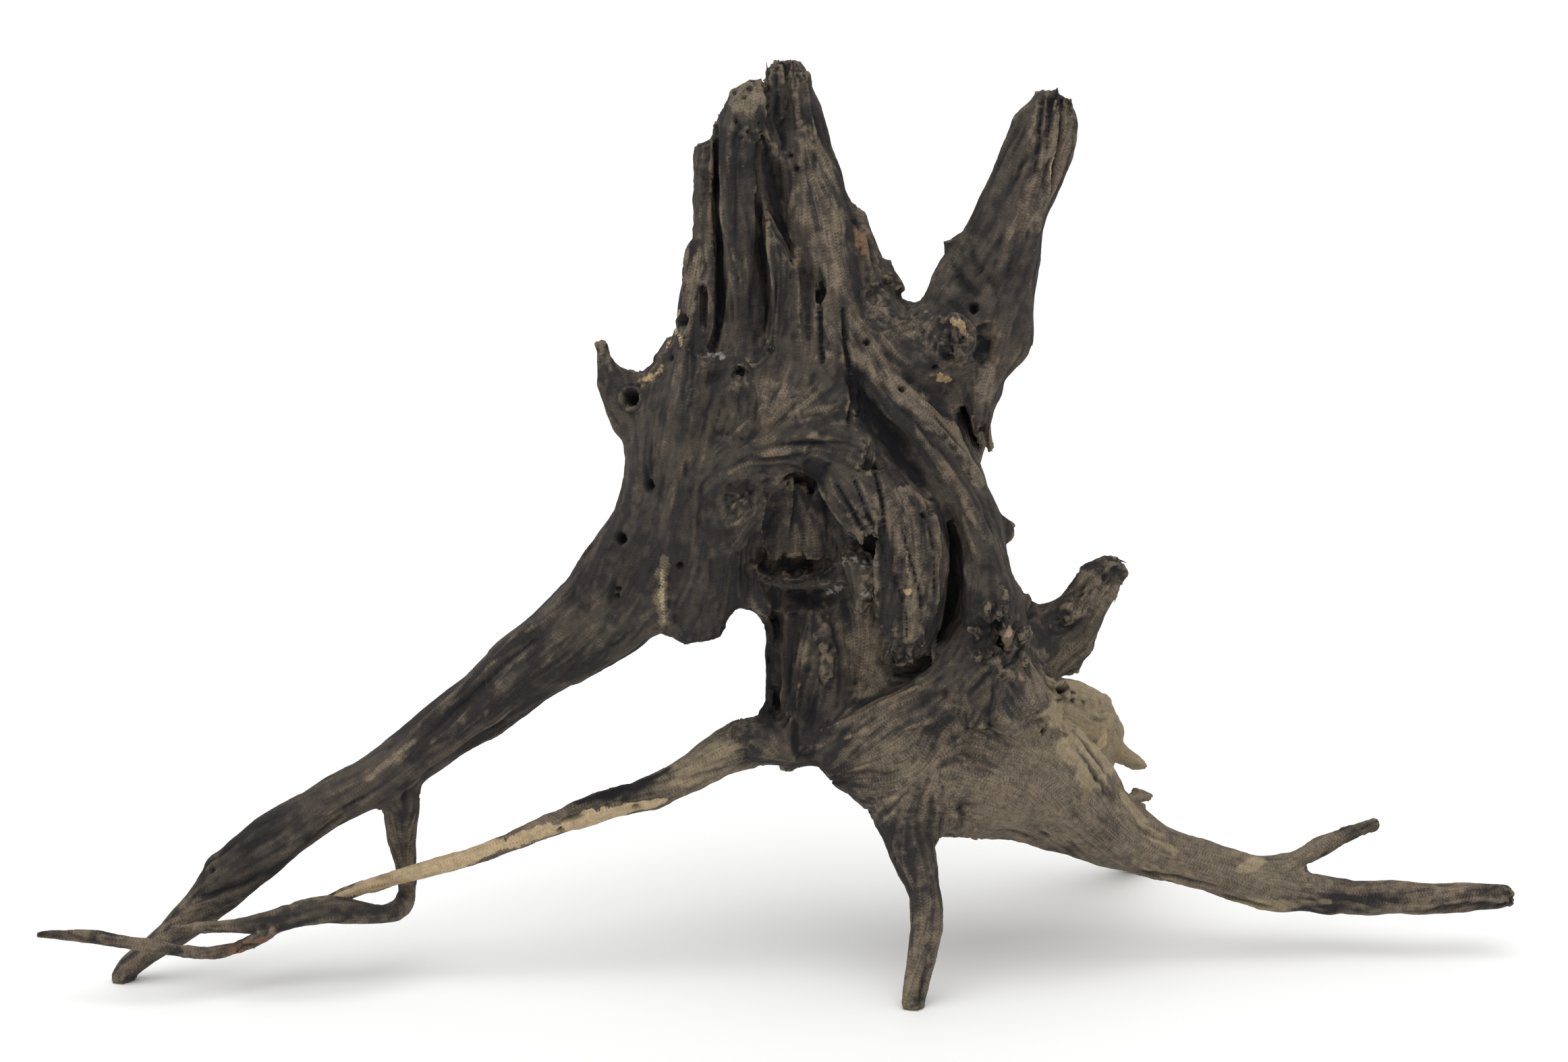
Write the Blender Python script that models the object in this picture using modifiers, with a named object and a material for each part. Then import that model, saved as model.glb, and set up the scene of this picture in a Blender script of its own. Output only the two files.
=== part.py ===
"""A weathered piece of driftwood: a hollow trunk with a split crown and a horn, standing on three of its roots.

The wood is drawn as strands, the way it grew. A strand is a row of stations in the front view, each
(across, up, depth, half width, half thickness) in millimetres. The front view looks down on the wood
a little, and depth runs away from the viewer.
"""

import math

import bmesh
import bpy
from mathutils import Matrix, Vector

MM = 0.001

VIEW_TILT = math.radians(12)
VIEW_DISTANCE = 900.0
VIEW_HEIGHT = 134.0
ORIGIN_SHIFT = Vector((-2.16, -25.14, 0.0))

RING_SIDES = 14
STEPS_PER_SPAN = 3
FLUTE_DEPTH = 0.07
SIDEWAYS_LIMIT = 0.35

STOCK_VOXEL = 1.2 * MM
CUTTER_VOXEL = 0.8 * MM
BODY_BLEND = 3.0
CROWN_BLEND = 1.2
SMOOTHING_ROUNDS = 3
LUMP_SIZE = 14 * MM
LUMP_HEIGHT = 1.6 * MM
KEPT_TRIANGLES = 8400
FORK_GAP = 0.3 * MM
FLOOR_CUT = 0.0

CROWN = {
    "peak": [
        (1, 139.5, 2, 4, 5), (1, 134, 2, 6.2, 7), (4, 127, 1, 6, 8), (6, 117, 0, 7.2, 10),
        (7.5, 107, -1, 8.6, 12), (9.5, 97, -2, 9.6, 13), (11.5, 87, -2, 10.4, 14),
        (14, 77, -2, 11.5, 15), (15, 65, -2, 13, 17), (12, 50, -2, 18, 20), (8, 32, -2, 22, 22),
    ],
    "dome": [
        (-8.5, 133, -4, 2.5, 4), (-10.5, 128, -5, 7, 7), (-11, 120, -6, 9, 9),
        (-12, 111, -7, 9.4, 10), (-12.8, 97, -8, 8.2, 10), (-13, 85, -8, 7.4, 10),
        (-12.4, 71, -8, 7, 10), (-12.8, 57, -8, 8, 11), (-15, 44, -8, 11, 13), (-18, 28, -6, 14, 16),
    ],
    "tall_rib": [
        (-24.2, 115, -2, 2.6, 4), (-23.8, 107, -3, 3.4, 5.5), (-23.4, 93, -4, 3.3, 6.5),
        (-22.6, 81, -5, 4, 7), (-21.6, 69, -6, 4.4, 8), (-21.5, 57, -6, 5.5, 9),
        (-22.5, 44, -5, 9, 12), (-24, 30, -4, 12, 15),
    ],
    "short_rib": [
        (-26.6, 83.5, -6, 1.5, 2.5), (-26, 77.5, -7, 3.2, 4.5), (-27, 69, -8, 4.6, 6),
        (-26.5, 59, -9, 6, 8), (-26, 49, -9, 8, 11), (-25, 37, -8, 11, 14),
    ],
    "hidden_rib": [
        (-19.8, 122, 6, 1.5, 3), (-20, 114, 6, 2, 5), (-20.5, 100, 5, 3, 8),
        (-20, 85, 4, 5, 10), (-19, 65, 3, 8, 13),
    ],
    "front_rib": [
        (-5, 97, -10, 1.4, 2.5), (-3, 90, -11, 2.8, 4), (-1, 81, -12, 4, 5), (-0.5, 71, -13, 5, 6.5),
        (-0.5, 59, -14, 6.5, 8), (-2, 46, -14, 10, 11), (-4, 32, -13, 14, 14),
    ],
    "ledge": [
        (21.8, 95, 0, 2.2, 4), (22.8, 89, 0, 3.4, 6), (24.2, 79, 0, 5.2, 8), (26.5, 72, 0, 7.5, 10),
        (28, 65, -1, 9, 12), (30, 54, -2, 12, 15),
    ],
    "crown_back": [
        (-4, 118, 12, 7, 6), (-6, 105, 14, 12, 8), (-6, 90, 15, 15, 9), (-4, 72, 15, 19, 12),
        (0, 52, 14, 24, 16), (4, 30, 13, 26, 18), (8, 8, 12, 26, 18),
    ],
}

HORN = {
    "shoulder": [
        (20, 58, -3, 12, 16), (32, 54, -4, 14, 17), (44, 54, -4, 15, 17), (55, 58, -3, 13, 15),
        (61, 67, -2, 12, 13),
    ],
    "horn": [
        (78.6, 130, 3, 4, 4.5), (78, 126, 3, 7.4, 7), (76.6, 120, 2, 9.3, 8.5),
        (73.4, 109, 1, 9.9, 9.5), (70, 99, 0, 10.6, 10), (65.8, 88, -1, 11.8, 11),
        (62, 77, -2, 13.4, 12), (60, 67, -3, 14.2, 13), (58.6, 57, -4, 14.5, 14),
        (56, 47, -5, 10, 13), (54, 36, -5, 6.5, 12),
    ],
    "heel": [(50, 87, -2, 2.6, 4), (51, 80, -3, 5, 6), (50, 72, -4, 8, 9)],
    "flake": [(58, 42, -8, 6, 6), (59, 35, -9, 3.4, 4), (59.8, 31.5, -10, 1.7, 2)],
    "shoulder_knot": [(49, 55, -13, 7, 7), (51, 55.5, -21, 5.5, 6), (52, 56, -25, 4.4, 5)],
}

KNOB = {
    "knob": [
        (-54.4, 56, -4, 2, 2.2), (-53.2, 51.5, -4, 2.8, 3), (-51.6, 46, -5, 3.9, 4),
        (-50, 40, -6, 4.6, 5), (-47, 34.5, -6, 5.5, 6), (-41, 30, -6, 8, 9), (-33, 25, -5, 10, 12),
    ],
    "knob_heel": [(-46.5, 47, -5, 1.6, 2), (-45, 42.5, -6, 3.6, 4.2), (-42, 36.5, -6, 6.4, 7), (-36, 31, -6, 9, 10)],
}

TRUNK = {
    "left_flank": [
        (-24, 54, -6, 11, 14), (-28.5, 38, -6, 15, 19), (-31, 22, -5, 15, 22), (-33, 6, -5, 16, 22),
        (-40, -10, -5, 17.5, 20), (-52, -22.4, -5, 15, 15),
    ],
    "left_lobe": [
        (-14, 12, -10, 13, 15), (-20, 2, -12, 14, 14), (-25, -9, -13, 15, 13),
        (-26, -20, -13, 13, 11), (-25, -30.5, -12, 7.5, 7),
    ],
    "lobe_lip": [(-24, -10, -14, 10, 8), (-14, -15, -15, 7, 6), (-7, -20, -15, 5, 5), (-3, -25, -14, 3.5, 4)],
    "chest": [(0, 52, -4, 20, 20), (4, 40, -6, 22, 22), (6, 28, -7, 23, 23), (6, 20, -6, 21, 21)],
    "arch": [
        (-27, 2, -18, 5, 8), (-22, 14, -20, 6, 8), (-10, 22, -22, 6, 8), (2, 26, -23, 6, 8),
        (13, 26, -23, 6, 8), (24, 24, -22, 5.5, 8),
    ],
    "left_fork": [(24, 52, -10, 6, 10), (17, 43, -14, 7, 10), (7, 34, -17, 8, 10), (-4, 26, -18, 7, 9)],
    "core": [
        (5, 45, 0, 20, 18), (8, 25, 2, 26, 20), (18, 8, 4, 32, 20), (28, -8, 5, 28, 19),
        (30, -25, 5, 27, 18), (31, -42, 4, 27, 18), (36, -58, 2, 27, 17), (40, -68, 0, 24, 15),
    ],
    "ridge": [
        (25, 50, -10, 9, 12), (33.6, 38, -14, 8, 11), (44.6, 23.5, -15, 8, 11), (52.6, 9.5, -15, 8, 12),
        (57.6, -2.6, -15, 8, 13), (59, -13, -15, 8.5, 15), (61, -25, -14, 11, 17),
        (60, -38, -13, 16, 19), (62, -50, -12, 18, 20),
    ],
    "right_wall": [
        (50, 46, 0, 10, 16), (49, 28, 2, 9, 16), (52, 13, 3, 8.4, 16), (56.5, 0, 2, 8.6, 16),
        (58.5, -12, 0, 7.6, 16), (62, -25, 0, 11, 18),
    ],
    "thorn": [(61, 2, -2, 4.5, 4.5), (65.5, 1.2, -3, 2.6, 2.6), (69, 0.4, -3, 1.4, 1.4)],
    "neck": [(8, -12, 6, 16, 16), (8, -25, 6, 13.5, 16), (8, -40, 6, 13.5, 15), (9, -53, 4, 14, 14), (14, -64, 0, 16, 14)],
    "stump_plate": [
        (12, -24, -8, 7, 6), (12, -34, -10, 9, 7), (12, -46, -11, 10, 7), (10, -57, -12, 10, 7),
        (7, -65, -12, 7, 6),
    ],
    "lower_rim": [
        (6, -64, -14, 5, 5), (20, -60, -17, 7, 8), (34, -54, -19, 8, 10), (44, -47, -19, 8, 11),
        (52, -36, -17, 7, 12),
    ],
    "belly": [
        (16, -65, -9, 10, 12), (30, -68, -11, 17, 16), (46, -69, -12, 22, 19), (63.6, -68, -9, 24, 20),
        (81, -77, -4, 18.5, 16), (97, -88.3, 0, 11.3, 11), (113.5, -96, 3, 7.4, 7.8),
    ],
    "hip": [(60, -30, -6, 13, 20), (62, -40, -6, 15, 22), (63, -54, -6, 17, 22), (64, -64, -6, 20, 20)],
    "hip_knot": [(61, -29, -16, 8, 8), (63, -29.5, -24, 6, 7), (64, -30, -28, 4.5, 5)],
    "flange": [(69, -45, -12, 8, 8), (77, -47, -15, 4.6, 4.6), (83, -48, -16, 2.8, 3), (86.5, -48.3, -16, 1.6, 1.8)],
    "back_left": [
        (-19, 56, 0, 6, 7), (-25, 40, 8, 10, 10), (-30, 18, 14, 12, 10), (-36, 0, 14, 13, 11),
        (-48, -16, 9, 12, 12), (-60, -27, 4, 11, 11),
    ],
    "back_middle": [
        (-4, 86, 2, 5, 6), (-7, 66, 15, 8, 8), (-6, 45, 25, 10, 9), (2, 20, 28, 12, 9), (16, -5, 28, 13, 10),
        (32, -28, 26, 14, 10), (50, -45, 24, 14, 12), (70, -52, 28, 12, 12),
    ],
    "back_right": [
        (59, 68, -4, 5, 6), (59, 50, 6, 8, 9), (51, 28, 18, 9, 9), (45, 5, 24, 11, 10), (43, -20, 24, 12, 10),
        (44, -45, 22, 14, 12), (52, -66, 12, 16, 14),
    ],
}

LIMBS = {
    "left_root": [
        (-40, -10, -5, 17.5, 20), (-52, -22.4, -5, 15, 15), (-64, -31.5, -5.5, 12.8, 12.5),
        (-76.8, -40.4, -6, 11.6, 11), (-89.4, -51.2, -7, 10.5, 10), (-101.4, -59.8, -8, 9.2, 9),
        (-117.4, -72.2, -10, 8.4, 8.2), (-131.4, -79.6, -12, 7.8, 7.6), (-143, -86.6, -13.5, 7.8, 7.4),
        (-153.2, -93.3, -14.5, 8.9, 7.4), (-161.4, -100.1, -15.5, 8.3, 6.8), (-169, -107.4, -16, 7.4, 6.2),
        (-177, -115.6, -16.5, 5.8, 5.4), (-188, -124.4, -17, 4.2, 4.4), (-195, -130, -17.5, 3.8, 4),
        (-197.5, -137, -18, 3.6, 3.8),
    ],
    "front_leg": [
        (33, -78, -18, 10, 10), (35.8, -87, -20, 8.4, 8), (38, -94, -23, 7.4, 7), (40.8, -104, -27, 5.2, 5.2),
        (42.4, -113.6, -31, 4.7, 4.7), (42, -122.6, -35, 4.9, 4.8), (40, -130.6, -37.5, 4.5, 4.5),
        (38.8, -137.6, -39.5, 4, 4), (38.2, -144, -40.5, 3.8, 3.8),
    ],
    "right_root": [
        (113.5, -96, 3, 7.4, 7.4), (126.6, -99.8, 4, 7.6, 7.2), (141.6, -104.2, 4, 7.4, 7),
        (150, -106.4, 4, 6.4, 6.2), (159.4, -107.8, 4.5, 5.6, 5.5), (179.6, -109, 5, 5, 4.8),
        (197.6, -109, 5.5, 4.5, 4.4), (212, -108.4, 6, 4, 4), (215.5, -108.2, 6, 3.4, 3.4),
    ],
    "side_spur": [
        (66, -36, -2, 12, 12), (75, -32.5, 0, 12, 10), (82, -29.5, 1, 11, 9), (86, -26, 1, 9, 8),
        (91, -20, 1, 6, 6), (96, -14, 1, 4.2, 4.4), (100, -10.4, 1, 2.4, 2.8),
    ],
    "spur_heel": [(80, -34, 0, 6, 5), (84, -39.5, 2, 3.5, 3.5), (85, -42.5, 2, 2, 2)],
    "back_root": [
        (58, -52, 12, 15, 15), (74, -56, 27, 13.5, 13), (87, -57, 38, 13, 13), (88.5, -64, 50, 10, 11.5),
        (89, -73, 61, 8, 10), (95, -84, 72, 7, 7.5), (102, -93, 82, 5.4, 5.6), (105, -99, 88, 4.7, 4.8),
        (105.5, -103, 89, 4.5, 4.6),
    ],
}

ROOTLETS = {
    "rootlet": [
        (-112.6, -72, -9, 6, 6.5), (-113.2, -80.6, -7.5, 5.5, 5.5), (-113.4, -87.6, -6, 4.8, 4.6),
        (-112.4, -95.6, -5.5, 3.9, 3.9), (-111.6, -102.6, -6.5, 3.4, 3.4), (-111.7, -107.8, -10.5, 3.3, 3.3),
        (-113.2, -111.2, -16, 3.2, 3.2), (-117, -113.2, -20.5, 3, 3), (-122, -113.8, -24, 3.3, 3.2),
        (-128.4, -113, -27, 3.9, 3.6), (-136.4, -112, -29, 4.4, 3.8), (-144.4, -113.6, -29.6, 4.1, 3.7),
        (-151.4, -115.6, -30, 3.8, 3.4), (-159.4, -116.8, -30, 3.1, 2.9), (-168.4, -117.3, -29, 2.4, 2.3),
        (-177.4, -117.5, -28.2, 1.9, 1.8), (-185.4, -117.9, -27.6, 1.6, 1.6),
    ],
    "pale_root": [
        (10, -62, -10, 8, 8), (0, -62.5, -12, 8, 7.5), (-9.4, -62.4, -13, 7.6, 7),
        (-19.2, -66.8, -14, 6.6, 6.2), (-30.4, -73.4, -14.5, 5.3, 5.2), (-37.8, -77, -15, 5.3, 5),
        (-48.2, -80.2, -15, 4.9, 4.7), (-58.8, -83.2, -15.5, 4.9, 4.4), (-71.8, -88.4, -16, 4.2, 4),
        (-87.2, -94.8, -16.5, 3.3, 3.2), (-106.8, -100.4, -17, 3.1, 3), (-116.8, -103.2, -17.5, 2.7, 2.7),
        (-128.4, -107, -18, 2.5, 2.5), (-144.4, -114.5, -20, 2.4, 2.4), (-158, -121.9, -23.6, 2.4, 2.3),
        (-170, -125.2, -30, 2.5, 2.4), (-182.4, -123.9, -34.5, 2.5, 2.4), (-191.2, -122.4, -35, 2.5, 2.3),
        (-199.8, -121, -34.5, 2.3, 2.1), (-210.4, -118.8, -33.5, 2, 1.9), (-217.2, -118.6, -32.5, 1.6, 1.6),
        (-221.5, -119.6, -32, 1.4, 1.4),
    ],
    "right_twig": [
        (138, -101.5, 4, 4, 4), (148, -98.5, 6, 3, 3), (153.6, -96.4, 8, 2.8, 2.8),
        (162.4, -92, 10, 2.9, 2.6), (169.6, -88.8, 12, 2.4, 2.3), (176.8, -86, 14, 1.9, 1.9),
    ],
    "back_stub": [(92, -62, 44, 5, 5), (98, -65.5, 44, 3.4, 3.4), (104, -68.5, 44, 2.4, 2.4), (108, -70.6, 44, 1.8, 1.8)],
    "root_nub": [(102, -85, 6, 3.6, 3.6), (105.5, -82, 6, 2, 2), (107.5, -80.4, 6, 1.5, 1.5)],
}

HOLLOWS = {
    "cavity": [
        (4, 19, -22, 4, 6), (5, 11, -22, 8, 11), (6, 1, -21, 11.5, 13), (6, -8, -20, 12.5, 13),
        (5, -16, -20, 11, 13), (3, -23, -21, 8, 13),
    ],
    "slot": [(2, -20, -20, 6, 12), (-1, -30, -19, 4.2, 12), (-3, -42, -18, 4, 12), (-4, -55, -18, 4, 10)],
    "channel": [
        (19.5, 50, -25, 1.6, 5), (22.6, 38, -25, 3.4, 8), (29.6, 28, -25, 4.4, 9), (36.6, 18, -24, 4.4, 9),
        (42.8, 10, -23, 3.5, 9), (48, 2, -22, 3, 9), (50.4, -9, -21, 2.8, 10), (50.6, -22, -20, 2.8, 9),
        (46.5, -32, -20, 2.4, 8),
    ],
    "under_heartwood": [(24, -27, -19, 3, 5), (29, -36, -18, 4, 7), (37, -41, -18, 4, 6), (44, -37, -18, 3, 5)],
    "lower_bay": [(20, -28, -22, 5, 8), (25, -38, -23, 9, 8), (27, -46, -24, 9, 7)],
    "rib_gap": [
        (-19.4, 114, -9, 1.1, 8), (-20.1, 100, -12, 1.1, 9), (-20.2, 92, -13, 1.1, 9), (-19, 80, -14, 1.2, 9),
        (-18.4, 70, -15, 1.3, 9), (-19.4, 60, -16, 1.3, 9), (-21.6, 54, -17, 1.1, 7),
    ],
    "crown_hollow": [
        (-4, 113, -16, 1.5, 6), (-2.5, 106, -15, 3.3, 10), (-1.5, 98, -14, 3, 10), (0, 91, -14, 2.2, 9),
        (1.6, 86, -14, 1.2, 7),
    ],
    "crown_cleft": [
        (-7.4, 97, -17, 1.5, 7), (-6.3, 86, -18, 2, 8), (-6.2, 74, -19, 2, 8), (-5, 62, -20, 1.9, 7),
        (-8, 54, -21, 1.6, 5),
    ],
    "crown_notch": [(-7, 139, -3, 1.2, 9), (-6.4, 133, -3, 1.2, 9), (-4.6, 128, -3, 1.7, 9), (-2.2, 124, -4, 1.5, 7), (-1, 121, -5, 1.1, 5)],
    "knot_hole": [(-12.8, 47, -34, 3.2, 2.6), (-12.6, 47, -24, 3, 2.4), (-12.2, 47.5, -15, 2, 1.8)],
    "flake_slot": [(52.6, 37, -16, 1.4, 7), (53.6, 31, -15, 1.6, 8), (54.6, 24, -14, 1.2, 6)],
    "shoulder_pit": [(58.4, 54, -24, 3, 3.4), (58, 54, -15, 2.4, 3)],
}

HEARTWOOD = {
    "left_slab": [(14, 23, -19, 5, 5), (17.6, 16, -22, 6.6, 4), (22.4, 6, -24.5, 6.6, 3.6), (25.4, -1.4, -25.5, 5.6, 3)],
    "right_slab": [
        (28, 26, -17, 6, 6), (34, 14, -20, 8, 7), (40, 1, -21.5, 8.6, 7.6), (40, -12, -21.5, 9.4, 7.6),
        (38, -24, -20.5, 9.4, 7.4), (36.6, -33, -19.5, 7, 5.6), (34, -38.6, -18, 3.4, 4),
    ],
    "ledge_in_hollow": [(-2, -13, -9, 2.4, 5), (6, -14, -10, 2, 6), (15, -13, -11, 2.4, 6), (22, -12, -12, 3, 6)],
    "powdery_lump": [(19, -6, -19, 3.6, 5), (22.4, -11, -21, 4.6, 5), (24, -18, -21, 4.2, 5), (22, -24, -19, 3, 4)],
    "square_splinter": [(12.2, -35, -18, 2.4, 1.6), (12.4, -43, -20, 2.6, 1.6), (12.4, -44.6, -20.4, 2.4, 1.4)],
    "plate_edge": [(7, -30, -13, 1.8, 3), (5, -42, -15, 1.8, 3), (3, -54, -15, 2, 3.6), (1, -62, -14, 2, 3.6)],
}

# Each fork is a place in the front view, the way the limb leaves there (across, up, depth) and the cut's radius.
FORKS = {
    "crown": ((-3, 64.8, -1), (-0.338, 0.941, 0.0), 43),
    "horn": ((57.5, 64, -3), (0.68, 0.73, 0.0), 22),
    "left_root": ((-68, -34.5, -6), (-0.8, -0.58, 0.0), 22),
    "rootlet": ((-113.3, -85, -8), (0.0, -1.0, 0.0), 8),
    "pale_root": ((-16, -65.5, -14), (-0.88, -0.45, 0.0), 14),
    "front_leg": ((38.2, -95.5, -23.5), (0.2, -0.9, -0.36), 13),
    "right_root": ((109, -93, 2), (0.86, -0.5, 0.0), 15),
    "right_twig": ((160, -93.2, 9.4), (0.82, 0.42, 0.24), 5.5),
    "side_spur": ((76.5, -31.5, 0), (0.9, 0.42, 0.0), 18),
    "back_root": ((84, -55, 35), (0.62, -0.2, 0.76), 22),
}

SEEDS = {
    "trunk": (5, 35, -5),
    "crown": (7, 90, -2),
    "horn": (70, 99, 0),
    "left_root": (-131, -79.6, -12),
    "rootlet": (-136, -112, -28),
    "pale_root": (-58, -83, -15),
    "front_leg": (42, -120, -34),
    "right_root": (170, -108.5, 5),
    "right_twig": (165, -91, 11),
    "side_spur": (93, -17, 1),
    "back_root": (90, -75, 63),
}

WOOD_COLOURS = {
    "trunk": (0.075, 0.058, 0.043),
    "crown": (0.105, 0.082, 0.058),
    "horn": (0.095, 0.078, 0.058),
    "left_root": (0.07, 0.056, 0.046),
    "rootlet": (0.085, 0.066, 0.052),
    "pale_root": (0.33, 0.26, 0.16),
    "front_leg": (0.14, 0.105, 0.07),
    "right_root": (0.15, 0.115, 0.08),
    "right_twig": (0.2, 0.155, 0.1),
    "side_spur": (0.1, 0.078, 0.055),
    "back_root": (0.27, 0.22, 0.15),
}
WOOD_ROUGHNESS = 0.85


def seen(across, up, depth):
    """The place in metres of a point seen at (across, up) in the front view, and the scale there."""
    sine, cosine = math.sin(VIEW_TILT), math.cos(VIEW_TILT)
    rise = (up * (VIEW_DISTANCE + depth * cosine) - VIEW_DISTANCE * depth * sine) / (
        VIEW_DISTANCE * cosine + up * sine
    )
    scale = (VIEW_DISTANCE + depth * cosine - rise * sine) / VIEW_DISTANCE
    return (Vector((across * scale, depth, rise + VIEW_HEIGHT)) + ORIGIN_SHIFT) * MM, scale


def clear_scene():
    """Removes everything that the new file starts with."""
    for obj in list(bpy.data.objects):
        bpy.data.objects.remove(obj)


def between(a, b, c, d, t):
    """One value of the Catmull-Rom curve from b to c."""
    return 0.5 * (
        2 * b + (c - a) * t + (2 * a - 5 * b + 4 * c - d) * t * t + (3 * b - a - 3 * c + d) * t * t * t
    )


def smooth_stations(stations):
    """The stations with STEPS_PER_SPAN steps of a smooth curve between each two."""
    rows = [stations[0], *stations, stations[-1]]
    fine = []
    for i in range(1, len(rows) - 2):
        for step in range(STEPS_PER_SPAN):
            t = step / STEPS_PER_SPAN
            fine.append(tuple(between(*(rows[i + k][n] for k in (-1, 0, 1, 2)), t) for n in range(5)))
    return [*fine, stations[-1]]


def ring_frame(centre, way):
    """A frame at centre whose X lies across the strand in the front view, and whose Z is its way."""
    side = way.cross(Vector((0, 1, 0)))
    if side.length < SIDEWAYS_LIMIT:
        side = Vector((1, 0, 0)) - way * way.x
    side.normalize()
    thick = way.cross(side)
    turn = Matrix((side, thick, way)).transposed().to_4x4()
    return Matrix.Translation(centre) @ turn


def loft(bm, stations, grow, flutes, phase):
    """Adds one strand: oval rings along its stations, bridged and closed, and thicker all round by grow."""
    rows = smooth_stations(stations)
    places = [seen(*row[:3]) for row in rows]
    last = len(rows) - 1
    made, loops = [], []
    for i, row in enumerate(rows):
        centre, scale = places[i]
        way = (places[min(i + 1, last)][0] - places[max(i - 1, 0)][0]).normalized()
        centre += way * grow * MM * ((i == last) - (i == 0))
        half_width = (max(row[3], 0.5) * scale + grow) * MM
        half_thick = (max(row[4], 0.5) * scale + grow) * MM
        ring = bmesh.ops.create_circle(bm, cap_ends=i in (0, last), segments=RING_SIDES, radius=1)["verts"]
        for n, vert in enumerate(ring):
            angle = 2 * math.pi * n / RING_SIDES
            swell = 1 + FLUTE_DEPTH * math.cos(flutes * angle + phase + 0.25 * i)
            vert.co = Vector((vert.co.x * half_width, vert.co.y * half_thick, 0)) * swell
        bmesh.ops.transform(bm, matrix=ring_frame(centre, way), verts=ring)
        made += ring
        loops.append(list({edge for vert in ring for edge in vert.link_edges}))
    for first, second in zip(loops, loops[1:]):
        bmesh.ops.bridge_loops(bm, edges=first + second)
    faces = list({face for vert in made for face in vert.link_faces})
    bmesh.ops.recalc_face_normals(bm, faces=faces)


def strands_object(name, groups, collection, grow=0.0):
    """One object that holds every strand of these groups, still as overlapping bodies."""
    bm = bmesh.new()
    count = 0
    for group in groups:
        for stations in group.values():
            loft(bm, stations, grow, flutes=3 + count % 3, phase=1.7 * count)
            count += 1
    mesh = bpy.data.meshes.new(name)
    bm.to_mesh(mesh)
    bm.free()
    obj = bpy.data.objects.new(name, mesh)
    collection.objects.link(obj)
    return obj


def as_helper(obj):
    """Marks an object as a cutter or guide."""
    obj.hide_render = True
    obj.display_type = "WIRE"
    return obj


def add_remesh(obj, voxel):
    modifier = obj.modifiers.new("fuse", "REMESH")
    modifier.mode = "VOXEL"
    modifier.voxel_size = voxel


def add_boolean(obj, operation, other):
    modifier = obj.modifiers.new(operation.lower(), "BOOLEAN")
    modifier.operation = operation
    modifier.solver = "EXACT"
    modifier.object = other


def bake(obj):
    """Replaces an object's mesh by its evaluated one and clears its modifiers."""
    bpy.context.view_layer.update()
    graph = bpy.context.evaluated_depsgraph_get()
    mesh = bpy.data.meshes.new_from_object(obj.evaluated_get(graph))
    obj.modifiers.clear()
    obj.data = mesh
    return obj


def islands(bm):
    """The connected bodies of a mesh, each a set of its vertices."""
    left = set(bm.verts)
    while left:
        found, edge_of = set(), [left.pop()]
        while edge_of:
            vert = edge_of.pop()
            found.add(vert)
            for edge in vert.link_edges:
                other = edge.other_vert(vert)
                if other in left:
                    left.discard(other)
                    edge_of.append(other)
        yield found


def keep_largest(obj):
    """Drops the small bodies that lie sealed inside the wood."""
    bm = bmesh.new()
    bm.from_mesh(obj.data)
    bodies = sorted(islands(bm), key=len)
    spare = [vert for body in bodies[:-1] for vert in body]
    bmesh.ops.delete(bm, geom=spare, context="VERTS")
    bm.to_mesh(obj.data)
    bm.free()


def add_lumps(obj):
    """Low swellings and hollows all over, as knotty wood has."""
    texture = bpy.data.textures.new("lumps", "CLOUDS")
    texture.noise_scale = LUMP_SIZE
    modifier = obj.modifiers.new("lumps", "DISPLACE")
    modifier.texture = texture
    modifier.texture_coords = "LOCAL"
    modifier.mid_level = 0.5
    modifier.strength = LUMP_HEIGHT


def add_smooth(obj, rounds):
    modifier = obj.modifiers.new("weathering", "SMOOTH")
    modifier.factor = 0.5
    modifier.iterations = rounds


def add_decimate(obj, triangles):
    obj.data.calc_loop_triangles()
    modifier = obj.modifiers.new("facets", "DECIMATE")
    modifier.ratio = triangles / len(obj.data.loop_triangles)
    modifier.use_collapse_triangulate = True


def grown_together(name, groups, collection, blend):
    """Strands fused with rounded inner corners: drawn too thick by blend, joined, then thinned again."""
    obj = strands_object(name, groups, collection, blend)
    add_remesh(obj, STOCK_VOXEL)
    modifier = obj.modifiers.new("thin", "DISPLACE")
    modifier.mid_level = 0.0
    modifier.strength = -blend * MM
    return bake(obj)


def joined(name, others, collection):
    """One object made of the faces of the others, which go."""
    bm = bmesh.new()
    for other in others:
        bm.from_mesh(other.data)
        bpy.data.objects.remove(other)
    mesh = bpy.data.meshes.new(name)
    bm.to_mesh(mesh)
    bm.free()
    obj = bpy.data.objects.new(name, mesh)
    collection.objects.link(obj)
    return obj


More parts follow.
